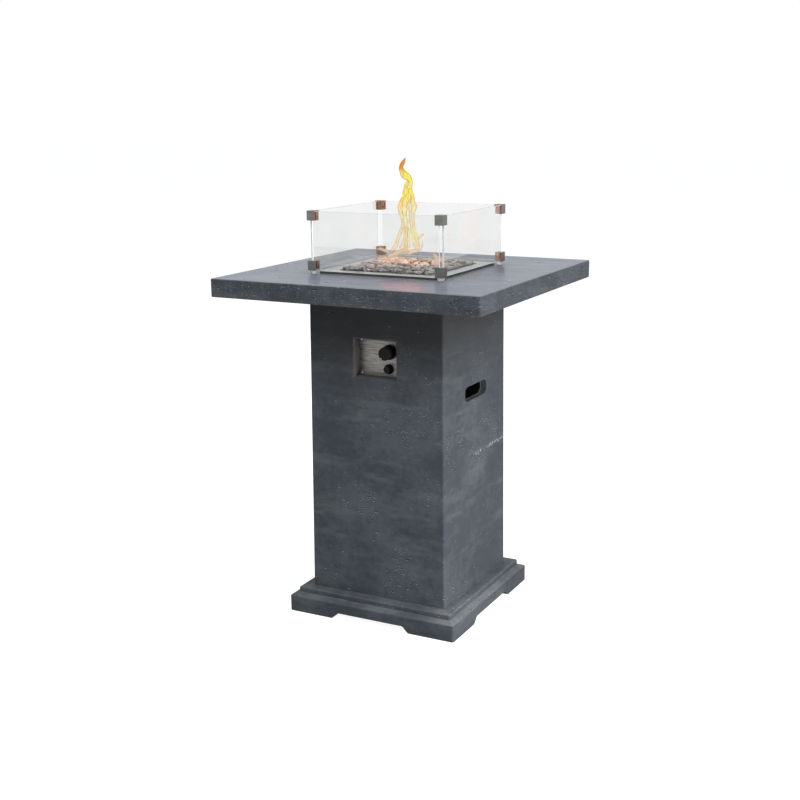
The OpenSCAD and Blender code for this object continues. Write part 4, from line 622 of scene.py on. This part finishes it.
# the dot lies near the rim of the knob, on what is further forward than knob_face
dot_x, dot_z, dot_radius, knob_face = 0.0207, 0.6813, 0.0013, -0.1895
x, y, z = g.apart(g.object_place())
across, up = g.minus(x, dot_x), g.minus(z, dot_z)
off = g.plus(g.times(across, across), g.times(up, up))
mark(g, shader, g.times(g.below(off, dot_radius ** 2), g.below(y, knob_face)), (0.75, 0.75, 0.73))

moulded("black_rubber", (0.018, 0.018, 0.018), (0.05, 0.05, 0.05), 700, 0.0002, rough=0.62)

g, shader = moulded("white_ceramic", (0.62, 0.60, 0.55), (0.5, 0.42, 0.33), 200, 0.0002, rough=0.22, coat=0.6)
hot_end = g.between(g.apart(g.object_place())[2], 0.834, 0.850, 0.0, 0.7)
mark(g, shader, hot_end, (0.10, 0.065, 0.04))

g, shader = moulded("battery_jacket", (0.030, 0.036, 0.050), (0.3, 0.3, 0.3), 300, 0.0001, rough=0.25, coat=0.5)
band = g.below(g.apart(g.object_place())[1], -0.132)
mark(g, shader, band, (0.55, 0.27, 0.13))
g.tree.links.new(g.times(band, 0.9), shader.inputs["Metallic"])
print("Moulded finishes made: black_plastic, black_rubber, white_ceramic, battery_jacket")

# %% [markdown]
# ## The wind guard's glass and its clear feet
#
# The guard is tempered sheet, slightly grey. Each pane is a solid sheet, so light bends in and out of it as in
# the real one. Its cut edges are ground, and scatter light, so they are a second, paler finish on the same
# pane, in which the level edges, which face the floor or the top, are painted darker: a painted shade. Glass
# leads light to its edges, so an edge looked at through the pane is seen from behind, and there it is given a
# painted glow: the upright ones pale, the level ones darker. A path tracer could find that light by itself, but
# only with far more samples. The clear feet under the guard are soft plastic, cloudy inside.

# %% Make the glass
def guard_glass():
    g = start_finish("clear_glass")
    smear = g.group("Clouds", g.object_place(), Size=0.12, Grain=0.2)["Tone"]
    tint = g.mix(g.between(smear, 0.3, 0.8), (0.915, 0.92, 0.915), (0.875, 0.88, 0.878))
    end_finish(g, {
        "Base Color": tint, "Roughness": 0.0, "IOR": 1.5, "Metallic": 0.0, "Transmission Weight": 1.0,
    })


def ground_edge():
    """Level is the size of the true normal's z, one on the level edges and zero on the upright ones."""
    g = start_finish("ground_edge")
    wheel = g.group("Brushing", g.object_place(), Along=(500.0, 500.0, 500.0))["Streak"]
    facts = g.node("NewGeometry").outputs
    level = g.size_of(g.apart(facts["True Normal"])[2])
    # painted shade: the level edges are painted darker than the upright ones
    skin = g.mix(level, g.mix(wheel, (0.80, 0.83, 0.82), (0.90, 0.92, 0.91)), (0.36, 0.39, 0.38))
    # the painted glow of an edge seen from behind, through the pane
    painted_edge_glow = g.mix(level, (0.70, 0.74, 0.73), (0.26, 0.29, 0.28))
    end_finish(g, {
        "Base Color": skin, "Roughness": g.between(wheel, 0.2, 0.8, 0.4, 0.6),
        "Normal": g.bump(wheel, 0.0001, 0.4), "IOR": 1.5, "Metallic": 0.0, "Transmission Weight": 0.12,
        "Emission Color": g.mix(facts["Backfacing"], (0, 0, 0), painted_edge_glow), "Emission Strength": 1.0,
    })


def clear_bumper():
    g = start_finish("clear_bumper")
    clouds = g.group("Clouds", g.object_place(), Size=0.02, Grain=0.4)["Tone"]
    end_finish(g, {
        "Base Color": g.mix(clouds, (0.86, 0.86, 0.83), (0.95, 0.95, 0.93)), "IOR": 1.45, "Metallic": 0.0,
        "Roughness": g.between(clouds, 0.2, 0.8, 0.22, 0.4), "Transmission Weight": 0.6,
    })


guard_glass()
ground_edge()
clear_bumper()
print("Clear finishes made: clear_glass, ground_edge, clear_bumper")

# %% [markdown]
# ## Lava stone
#
# The stones are basalt scoria, brown-grey and full of gas bubbles of every size. Two sizes of pits over a
# rough ground give the bubbles, which are darkened with painted shade, and each stone has its own tone, stored
# on its points as an attribute, so no two neighbours match. What faces up carries a faint bloom of pale ash.

# %% Make the lava finish
def lava():
    g = start_finish("lava")
    place = g.object_place()
    tone = g.node("Attribute", attribute_name="tone").outputs["Fac"]
    clouds = g.group("Clouds", place, Size=0.012, Grain=0.7)["Tone"]
    big = g.group("Pits", place, Size=0.0072, Share=0.5, Width=0.45)["Pit"]
    small = g.group("Pits", place, Size=0.0030, Share=0.6, Width=0.45)["Pit"]
    holes = g.most(big, g.times(small, 0.7))
    ash = g.group("Dust", place, Amount=0.35)["Dust"]
    rough = g.noise(place, 320.0, 4, 0.7)
    colour = g.mix(tone, (0.130, 0.119, 0.113), (0.34, 0.326, 0.316))
    colour = g.cover(colour, (0.48, 0.46, 0.445), g.between(clouds, 0.35, 0.75, 0.0, 0.5))
    # painted shade darkens the holes, which the bump also sinks
    colour = g.cover(colour, (0.022, 0.018, 0.016), holes, 0.8)
    colour = g.cover(colour, (0.50, 0.475, 0.455), ash)
    end_finish(g, {
        "Base Color": colour, "Roughness": g.between(rough, 0.3, 0.7, 0.78, 0.95), "Specular IOR Level": 0.25,
        "Normal": g.bump(g.minus(g.times(rough, 0.6), holes), 0.0016, 0.9),
    })


lava()
print("Finish made: lava")

# %% [markdown]
# ## Dressing the solids
#
# Every solid takes the finish that has the name of its material in the record. A table of solids and finishes
# would say the same twice over. Only two sheets have a steel of their own: the pan's flange is painted dark
# past its rim, a painted shadow along its outer edge, and the control plate is painted darker than the rest, a
# painted shade of its recess, with a wavering grain.

# %% Give each solid its finish
own_finish = {"burner_pan": "pan_steel", "control_plate": "shaded_plate_steel"}
for part in frame["record"]["subparts"]:
    slots = nodes[part["node"]].data.materials
    slots.clear()
    slots.append(finishes[own_finish.get(part["node"], part["material_slot"])])
dressed = {part["node"] for part in frame["record"]["subparts"]}
print("Dressed", len(dressed), "of", len(nodes), "solids; left over:", sorted(set(nodes) - dressed))

# %% [markdown]
# ## The panes of the wind guard
#
# A pane is cut with slightly rounded corners, and a grinding wheel takes the sharp arrises off before it is
# tempered. The CAD solid is a plain sheet. A Bevel modifier could round it, but it can't give the narrow faces
# a finish of their own, so each pane is built again in the CAD solid's own box: one outline, carried through
# the thickness in four steps, closed by a flat face on each side.

# %% Faces between rings of points
def ring_quads(rows, around):
    """Joins each row of points, which runs round, to the next: this point, the one to its right, and the two
    above them. Point j of row i has the number i * around + j."""
    i, j = np.meshgrid(np.arange(rows - 1), np.arange(around), indexing="ij")
    here, right = i * around + j, i * around + (j + 1) % around
    return np.stack([here, right, right + around, here + around], -1).reshape(-1, 4)


# %% A pane with ground edges
def pane_mesh(name, low, high, corner=0.0035, arris=0.0007, steps=6):
    """The outline is a rectangle whose corners are quarter circles, corner + radius * (cos t, sin t). It is set
    in by the arris on the two faces and has its full size between them."""
    low, high = np.array(low), np.array(high)
    thin = int(np.argmin(high - low))
    wide = 1 - thin
    middle, half = (low + high) / 2, (high - low) / 2
    t = np.linspace(0, np.pi / 2, steps)
    quarter = np.stack([np.cos(t), np.sin(t)], -1)
    signs = np.array([(1, 1), (-1, 1), (-1, -1), (1, -1)])
    turned = [quarter, quarter[::-1] * (-1, 1), quarter * (-1, -1), quarter[::-1] * (1, -1)]
    rows = []
    for depth, inset in ((-1, arris), (-1, 0.0), (1, 0.0), (1, arris)):
        box = np.array([half[wide], half[2]]) - inset
        loop = np.concatenate([sign * (box - corner) + corner * q for sign, q in zip(signs, turned)])
        points = np.empty((len(loop), 3))
        points[:, wide] = middle[wide] + loop[:, 0]
        points[:, 2] = middle[2] + loop[:, 1]
        points[:, thin] = middle[thin] + depth * (half[thin] - (0.0 if inset else arris))
        rows.append(points)
    around = len(rows[0])
    strip = ring_quads(len(rows), around)
    flat = [list(range(around))[::-1], list(range(3 * around, 4 * around))]
    faces = strip.tolist() + flat
    if thin == 1:
        faces = [face[::-1] for face in faces]
    mesh = bpy.data.meshes.new(name)
    mesh.from_pydata(np.concatenate(rows).tolist(), [], faces)
    mesh.materials.append(finishes["clear_glass"])
    mesh.materials.append(finishes["ground_edge"])
    mesh.polygons.foreach_set("material_index", [1] * len(strip) + [0] * len(flat))
    return mesh


for side in ("front", "back", "left", "right"):
    pane = put_in_scene("pane_" + side, pane_mesh("pane_" + side, *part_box("glass_" + side)))
    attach(pane, "guard_body")
    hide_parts("glass_" + side)
print("Panes made: 4, each with", len(pane.data.polygons), "faces")

# %% [markdown]
# ## The bed of lava stones
#
# In the real pan nearly two hundred broken stones, 20 to 40 mm across, are tipped over the burner. The CAD
# model holds each as a plain lump. A rigid-body drop would give a natural heap, but it would move the stones
# off the burner ring and the electrode. So each stone here is made where its lump is, about the lump's size,
# and only its surface is new: a ball cut by random planes, as a hammer breaks rock, then roughened.

# %% Find where each lump lies
def separate_lumps(mesh):
    """Splits loose triangles into solids. Corners at one place share a number, and each triangle keeps handing
    its lowest number to its three corners until nothing changes. Returns the middle and half size of each."""
    mesh.calc_loop_triangles()
    corners = np.empty(len(mesh.vertices) * 3)
    mesh.vertices.foreach_get("co", corners)
    corners = corners.reshape(-1, 3)
    triangles = np.empty(len(mesh.loop_triangles) * 3, np.int32)
    mesh.loop_triangles.foreach_get("vertices", triangles)
    _, same = np.unique(np.round(corners, 5), axis=0, return_inverse=True)
    triangles = same.ravel()[triangles].reshape(-1, 3)
    label = np.arange(same.max() + 1)
    while True:
        lowest = label.copy()
        np.minimum.at(lowest, triangles.ravel(), np.repeat(label[triangles].min(axis=1), 3))
        if (lowest == label).all():
            break
        label = lowest
    _, owner = np.unique(label[same.ravel()], return_inverse=True)
    low = np.full((owner.max() + 1, 3), np.inf)
    high = -low
    np.minimum.at(low, owner.ravel(), corners)
    np.maximum.at(high, owner.ravel(), corners)
    return (low + high) / 2, (high - low) / 2


middles, halves = separate_lumps(nodes["lava_rocks"].data)
print("Lumps found:", len(middles), "with half sizes in mm from", (halves.min(0) * 1000).round(1),
      "to", (halves.max(0) * 1000).round(1))

# %% [markdown]
# A closed ball on a grid has a pole at each end. The rings between them run round, and the two poles are
# single points joined to the first and last ring by triangles, so the shell has no open seam.

# %% A grid for a closed ball
def ball_grid(around, down):
    """Unit directions, quads and triangles. Row i has the angle pi * i / down from the top, and column j the
    angle 2 pi * j / around. The rows go down, so the quads are turned over to face outwards."""
    tilt = np.pi * np.arange(1, down) / down
    turn = 2 * np.pi * np.arange(around) / around
    t, a = np.meshgrid(tilt, turn, indexing="ij")
    ring = np.stack([np.sin(t) * np.cos(a), np.sin(t) * np.sin(a), np.cos(t)], -1).reshape(-1, 3)
    points = np.vstack([[0, 0, 1], ring, [0, 0, -1]])
    quads = 1 + ring_quads(down - 1, around)[:, [0, 3, 2, 1]]
    edge = np.arange(around)
    top = np.stack([np.zeros_like(edge), 1 + edge, 1 + (edge + 1) % around], -1)
    last, first = len(points) - 1, 1 + (down - 2) * around
    bottom = np.stack([np.full_like(edge, last), first + (edge + 1) % around, first + edge], -1)
    return points, quads, np.vstack([top, bottom])


def many_meshes(name, shells, quads, triangles):
    """One mesh out of many shells that share a face pattern: each shell's faces are shifted by its place."""
    count, each = shells.shape[:2]
    shift = (np.arange(count) * each)[:, None, None]
    loops = np.concatenate([(quads[None] + shift).ravel(), (triangles[None] + shift).ravel()])
    sizes = np.concatenate([np.full(count * len(quads), 4), np.full(count * len(triangles), 3)])
    mesh = bpy.data.meshes.new(name)
    mesh.vertices.add(count * each)
    mesh.vertices.foreach_set("co", shells.reshape(-1))
    mesh.loops.add(len(loops))
    mesh.loops.foreach_set("vertex_index", loops.astype(np.int32))
    mesh.polygons.add(len(sizes))
    mesh.polygons.foreach_set("loop_start", np.concatenate([[0], np.cumsum(sizes)[:-1]]).astype(np.int32))
    mesh.update(calc_edges=True)
    mesh.validate()
    return mesh


stone_grid = ball_grid(around=22, down=13)
print("Each stone has", len(stone_grid[0]), "points and", len(stone_grid[1]) + len(stone_grid[2]), "faces")


# %% Break the stones
def broken_stones(directions, middles, halves, rng, cuts=9, ripples=5):
    """The distance from the middle is the least of 1 and, for each cutting plane, its offset divided by the
    cosine between the direction and the plane's normal. Sums of sine waves of the direction then add lumps,
    and finer ones add bubbles. Each shape is turned at random before it is stretched to fill its own box."""
    count = len(middles)
    planes = rng.normal(size=(count, cuts, 3))
    planes /= np.linalg.norm(planes, axis=2, keepdims=True)
    offset = rng.uniform(0.48, 0.86, size=(count, cuts, 1))
    cosine = planes @ directions.T
    no_cut, grazing = 9.0, 0.05
    cut = np.where(cosine > grazing, offset / np.maximum(cosine, grazing), no_cut).min(axis=1)
    reach = np.minimum(cut, 1.0)
    for waves, height in ((2.5, 0.07), (6.0, 0.075), (11.0, 0.055), (17.0, 0.025)):
        along = rng.normal(size=(count, ripples, 3)) * waves
        phase = rng.uniform(0, 2 * np.pi, size=(count, ripples, 1))
        reach = reach + height * np.sin(along @ directions.T + phase).sum(axis=1) / 2
    shells = reach[:, :, None] * directions[None] * rng.uniform(0.7, 1.0, size=(count, 1, 3))
    turns, _ = np.linalg.qr(rng.normal(size=(count, 3, 3)))
    turns *= np.sign(np.linalg.det(turns))[:, None, None]
    shells = shells @ turns
    shells /= np.abs(shells).max(axis=1, keepdims=True)
    return middles[:, None] + shells * halves[:, None]


def stone_object(name, grid, middles, halves, rng):
    """One object out of many broken stones, with each stone's tone on its points."""
    directions, quads, triangles = grid
    shells = broken_stones(directions, middles, halves, rng)
    mesh = many_meshes(name, shells, quads, triangles)
    tones = np.repeat(rng.uniform(0, 1, len(middles)), len(directions)).astype(np.float32)
    mesh.attributes.new("tone", "FLOAT", "POINT").data.foreach_set("value", tones)
    mesh.materials.append(finishes["lava"])
    made = put_in_scene(name, mesh)
    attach(made, "table_body")
    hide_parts("lava_rocks")
    print(name, "has", len(middles), "stones and", len(mesh.polygons), "faces")


rng = np.random.default_rng(7)
taller = (0.98, 0.98, 1.32)  # broken stones stand up more than the lumps do
stone_object("lava_stones", stone_grid, middles, halves * taller, rng)

# %% [markdown]
# Between the big stones lie the chips that broke off them in the bag, one beside each stone and a little
# higher than its middle, so that they show in the gaps. They are the same shapes on a coarser grid, because
# each is seen small.

# %% Scatter the chips
chips = middles.copy()
sizes = rng.uniform(0.0042, 0.0085, size=(len(chips), 1)) * rng.uniform(0.75, 1.25, size=(len(chips), 3))
angle = rng.uniform(0, 2 * np.pi, len(chips))
out = halves[:, :2].mean(axis=1) * rng.uniform(0.55, 1.0, len(chips))
chips[:, 0] += out * np.cos(angle)
chips[:, 1] += out * np.sin(angle)
chips[:, 2] += halves[:, 2] * rng.uniform(0.2, 0.7, len(chips))
pan_half = 0.1285  # half the width of the bed of stones
limit = pan_half - sizes[:, :2]
chips[:, :2] = np.clip(chips[:, :2], -limit, limit)
stone_object("lava_chips", ball_grid(around=12, down=8), chips, sizes, rng)

# %% [markdown]
# ## The flame
#
# The photograph shows the burner lit. A flame is no part of the object. It could be a fire simulation, but a
# still picture needs only its shape. It is a bundle of thin strands with gaps between them. Each is a tube
# round a bent line, thin at both ends, whose points are set out in the upright plane that faces the camera. The
# shader is a light that lets the background through: clear yellow in the middle of a strand, a brown-orange
# outline where the tube turns away, pink at the stones and orange at the tip. A ray that has been reflected and
# then passes through the glass sees it redder and stronger, as the real flame shows in a polished top.

# %% Shape the strands of the flame
facing = np.array(camera.matrix_world.col[0][:3])
facing[2] = 0
facing /= np.linalg.norm(facing)
depth_axis = np.array([-facing[1], facing[0], 0])
upright = np.array([0, 0, 1])


def smooth_line(points, steps):
    """A Catmull-Rom curve: it passes each point with the slope of the chord between its two neighbours."""
    points = np.vstack([2 * points[0] - points[1], points, 2 * points[-1] - points[-2]])
    where = np.linspace(0, len(points) - 3 - 1e-9, steps)
    i = where.astype(int)
    t = (where - i)[:, None]
    p0, p1, p2, p3 = points[i], points[i + 1], points[i + 2], points[i + 3]
    return 0.5 * (2 * p1 + (p2 - p0) * t + (2 * p0 - 5 * p1 + 4 * p2 - p3) * t**2
                  + (3 * p1 - p0 - 3 * p2 + p3) * t**3)


def strand(depth, points, around=20, steps=110):
    """A tube with an oval section, which lies square to the line. Its half width is the one given, times slow
    waves along and round the tube that make it flicker, and times the root of a ramp over a twelfth of the
    length at each end."""
    points = np.insert(np.array(points, float), 2, depth, axis=1) / 1000
    line = smooth_line(points, steps)
    turn = 2 * np.pi * np.arange(around) / around
    s = np.linspace(0, 1, steps)[:, None]
    along = np.gradient(line[:, :2], axis=0)
    along /= np.linalg.norm(along, axis=1, keepdims=True)
    flicker = 1 + 0.13 * np.sin(2 * turn + 31 * s) + 0.09 * np.sin(3 * turn - 57 * s)
    half = line[:, 3:4] * flicker * np.sqrt(np.clip(np.minimum(s, 1 - s) * 12, 0.003, 1))
    across = line[:, 0:1] - half * np.cos(turn) * along[:, 1:2]
    height = line[:, 1:2] + half * np.cos(turn) * along[:, 0:1]
    depth = line[:, 2:3] + 0.8 * half * np.sin(turn)
    return across[..., None] * facing + depth[..., None] * depth_axis + height[..., None] * upright


strands = [  # the depth, then across, height and half width at points along the strand, all in mm
    # the tall ribbon and its foot on the right
    (0, [(-6, 1152, 1.3), (-9, 1146, 3.3), (-14, 1137, 4.8), (-17, 1128, 5.9), (-15, 1118, 6.6),
          (-7, 1108, 8.2), (2, 1100, 7.4), (7, 1091, 5.4), (5, 1080, 4.1), (6, 1070, 4.8), (9, 1058, 5.6),
          (11, 1045, 6.1), (14, 1032, 6.6), (12, 1018, 4.8), (12, 1001, 3.6), (14, 983, 3.3), (17, 966, 3.8),
          (22, 948, 3.8), (25, 931, 4.1), (23, 918, 3.1)]),
    # the body
    (6, [(2, 1095, 1), (-3, 1088, 4.3), (-6, 1079, 5.4), (-6, 1070, 6.6), (-7, 1057, 7.6), (-10, 1045, 8.2),
          (-12, 1033, 8.4), (-10, 1018, 6.6), (-7, 1000, 5.4), (-5, 983, 5.1), (-5, 965, 4.1),
          (-6, 948, 3.8), (-5, 930, 4.8), (-2, 918, 3.8)]),
    # the left lobe
    (-8, [(-9, 1068, 1.5), (-14, 1053, 3.8), (-19, 1041, 5.1), (-20, 1029, 5.9), (-19, 1015, 4.8),
          (-15, 1002, 3.1), (-15, 984, 3.3), (-20, 967, 4.3), (-26, 952, 4.1), (-30, 939, 4.3),
          (-37, 928, 4.3), (-45, 919, 3.1)]),
    # three thinner ones inside
    (-14, [(1, 1059, 1.3), (2, 1044, 3.1), (1, 1029, 2.8), (4, 1014, 2.8), (6, 999, 3.6), (8, 985, 4.1),
          (10, 970, 3.6), (13, 955, 3.8), (16, 940, 4.6), (18, 927, 3.6)]),
    (-18, [(-11, 985, 1.5), (-9, 973, 2.5), (-10, 960, 2.3), (-12, 948, 3.1), (-15, 935, 5.6),
          (-19, 925, 5.6)]),
    (10, [(-4, 982, 1.3), (0, 972, 3.1), (1, 957, 3.1), (0, 942, 3.1), (3, 927, 4.1)]),
    # the branch on the right
    (4, [(23, 949, 3.1), (29, 956, 3.1), (34, 960, 2.8), (41, 963, 1)]),
    # low waves over the stones
    (-10, [(-52, 910, 2.5), (-40, 913, 4.6), (-27, 918, 6.1), (-14, 921, 6.6), (-2, 918, 5.9),
          (11, 921, 5.1), (23, 923, 4.6), (33, 927, 1.5)]),
    (20, [(-80, 923, 1.3), (-72, 925, 3.6), (-61, 921, 4.1), (-53, 918, 4.1), (-44, 911, 3.1),
          (-40, 904, 1.5)]),
    (-40, [(-73, 905, 1.5), (-64, 909, 3.8), (-52, 908, 4.1), (-39, 910, 3.8), (-27, 908, 4.3),
          (-14, 908, 3.3), (-7, 909, 1.3)]),
    (-52, [(-69, 900, 1.3), (-57, 902, 2.5), (-42, 901, 2.8), (-27, 903, 3.1), (-17, 903, 1.3)]),
    # two licks at the corner by the front clamp
    (-60, [(60, 922, 1), (65, 917, 4.1), (70, 909, 5.6), (72, 899, 5.6), (73, 890, 2.5)]),
    (10, [(35, 947, 1), (35, 937, 2), (34, 927, 2), (32, 919, 1.3)]),
]
shapes = np.stack([strand(depth, points) for depth, points in strands])
print("Strands of flame:", len(shapes), "tallest point in mm:", round(float(shapes[..., 2].max()) * 1000))


# %% Give the flame its light
def flame_light():
    g = start_finish("flame_light")
    place = g.object_place()
    up = g.apart(place)[2]
    tongues = g.noise(g.stretch(place, (55, 55, 18)), 1.0, 3, 0.55)
    core = g.mix(g.between(tongues, 0.35, 0.60), (1.0, 0.66, 0.16), (0.96, 0.86, 0.34))
    core = g.mix(g.between(tongues, 0.66, 0.74), core, (0.80, 0.28, 0.05))
    by_height = [  # from this height in metres to that one, the flame takes the colour
        (1.035, 1.060, (0.97, 0.86, 0.13)),
        (0.945, 0.905, (0.90, 0.60, 0.44)),
        (1.112, 1.130, (0.78, 0.24, 0.03)),
        (1.144, 1.150, (0.30, 0.17, 0.10)),
    ]
    for start, end, colour in by_height:
        core = g.mix(g.between(up, start, end), core, colour)
    vein = g.times(g.between(g.size_of(g.minus(tongues, 0.5)), 0.030, 0.004), 0.6)
    core = g.cover(core, (0.60, 0.33, 0.10), vein)
    outline = g.between(g.node("LayerWeight", {"Blend": 0.5}).outputs["Facing"], 0.16, 0.50)
    core = g.cover(core, (0.40, 0.23, 0.07), outline, 0.72)
    solid = g.most(g.between(tongues, 0.34, 0.62, 0.20, 0.66), vein, g.between(up, 1.00, 1.06, 0.0, 0.86),
                   g.times(outline, 0.78))
    path = g.node("LightPath").outputs
    mirrored = g.times(g.math("MINIMUM", path["Glossy Depth"], 1.0), path["Is Transmission Ray"])
    core = g.cover(core, (1.0, 0.26, 0.20), mirrored, 0.85)
    glow = g.node("Emission", {"Color": core, "Strength": g.plus(1.0, g.times(mirrored, 2.5))})
    both = g.node("MixShader", {0: solid, 1: g.node("BsdfTransparent").outputs[0], 2: glow.outputs[0]})
    g.node("OutputMaterial", {"Surface": both.outputs[0]})


flame_light()
rows, around = shapes.shape[1:3]
ring = np.arange(around)
caps = np.stack([np.zeros(around - 2, int), ring[2:], ring[1:-1]], -1)
caps = np.vstack([caps, caps[:, ::-1] + (rows - 1) * around])
tubes = many_meshes("flame", shapes.reshape(len(strands), -1, 3), ring_quads(rows, around), caps)
flame = put_in_scene("flame", tubes)
flame.data.materials.append(finishes["flame_light"])
flame.data.polygons.foreach_set("use_smooth", np.ones(len(flame.data.polygons), bool))
print("Flame made with", len(flame.data.polygons), "faces")

# %% [markdown]
# ## Light, floor and background
#
# The photograph is a cut-out on pure white, lit softly from above and from the right: the right side of the
# column is about half as bright again as the front. The world is white only for what the camera, a mirror or
# glass sees, and a softer grey for the light that it gives, so the background is white without washing out
# the stone. The floor does the same and still takes the object's shadow.

# %% Set the world and the floor
def seen_directly(g):
    """One for a ray from the camera, off a mirror or through glass, and zero for light on its way."""
    path = g.node("LightPath").outputs
    return g.most(path["Is Camera Ray"], path["Is Glossy Ray"], path["Is Transmission Ray"])


world = bpy.data.worlds.new("studio")
bpy.context.scene.world = world
world.use_nodes = True
g = Graph(world.node_tree)
white = g.node("Background", {"Color": (1, 1, 1), "Strength": 1.0})
soft = g.node("Background", {"Color": (0.93, 0.96, 1.0), "Strength": 0.17})
both = g.node("MixShader", {0: seen_directly(g), 1: soft.outputs[0], 2: white.outputs[0]})
g.node("OutputWorld", {"Surface": both.outputs[0]})

g = start_finish("white_floor")
glow = g.node("Emission", {"Color": (1, 1, 1), "Strength": g.times(seen_directly(g), 0.93)})
matt = g.node("BsdfDiffuse", {"Color": (0.42, 0.42, 0.42)})
both = g.node("AddShader", {0: glow.outputs[0], 1: matt.outputs[0]})
g.node("OutputMaterial", {"Surface": both.outputs[0]})
reach, below = 30.0, -0.0005
corners = [(x * reach, y * reach, below) for x, y in ((-1, -1), (1, -1), (1, 1), (-1, 1))]
sheet = bpy.data.meshes.new("floor")
sheet.from_pydata(corners, [], [(0, 1, 2, 3)])
sheet.materials.append(finishes["white_floor"])
floor = put_in_scene("floor", sheet)
print("World and floor made")

# %% [markdown]
# Each lamp has one task. The key on the right models the column, the one overhead lights the top, and the
# one high in front keeps the front face from going black. A small low one on the right brightens the base, and
# a fill behind shows the back. The fill isn't seen in the steel or through the glass, where it would burn out
# the pan. A warm point over the burner stands for the light of the flame.

# %% Hang the lamps
def soft_lamp(name, place, target, size, power):
    """A square area lamp aimed at a point."""
    lamp = bpy.data.lights.new(name, "AREA")
    lamp.size = size
    lamp.energy = power
    made = put_in_scene(name, lamp)
    made.location = place
    made.rotation_euler = (Vector(target) - Vector(place)).to_track_quat("-Z", "Y").to_euler()
    return made


soft_lamp("key_right", (3.4, -0.5, 2.5), (0, 0, 0.5), size=1.8, power=90)
soft_lamp("overhead", (0.2, 0.4, 3.8), (0, 0, 0.6), size=2.4, power=74)
soft_lamp("front_high", (-0.9, -2.9, 3.3), (0, 0, 0.35), size=1.6, power=77)
soft_lamp("low_right", (1.35, -0.5, 0.24), (0.1, -0.1, 0.06), size=0.6, power=13.5)
rear_fill = soft_lamp("rear_fill", (-1.7, 2.9, 1.9), (0, 0, 0.4), size=1.8, power=50)
glow = bpy.data.lights.new("fire_glow", "POINT")
glow.energy = 1.3
glow.color = (1.0, 0.50, 0.28)
glow.shadow_soft_size = 0.04
fire_glow = put_in_scene("fire_glow", glow)
fire_glow.location = (0, 0, 0.955)
fire_glow.visible_camera = False
for lamp in (rear_fill, fire_glow):
    lamp.visible_glossy = False
    lamp.visible_transmission = False
bpy.context.scene.view_settings.view_transform = "Standard"
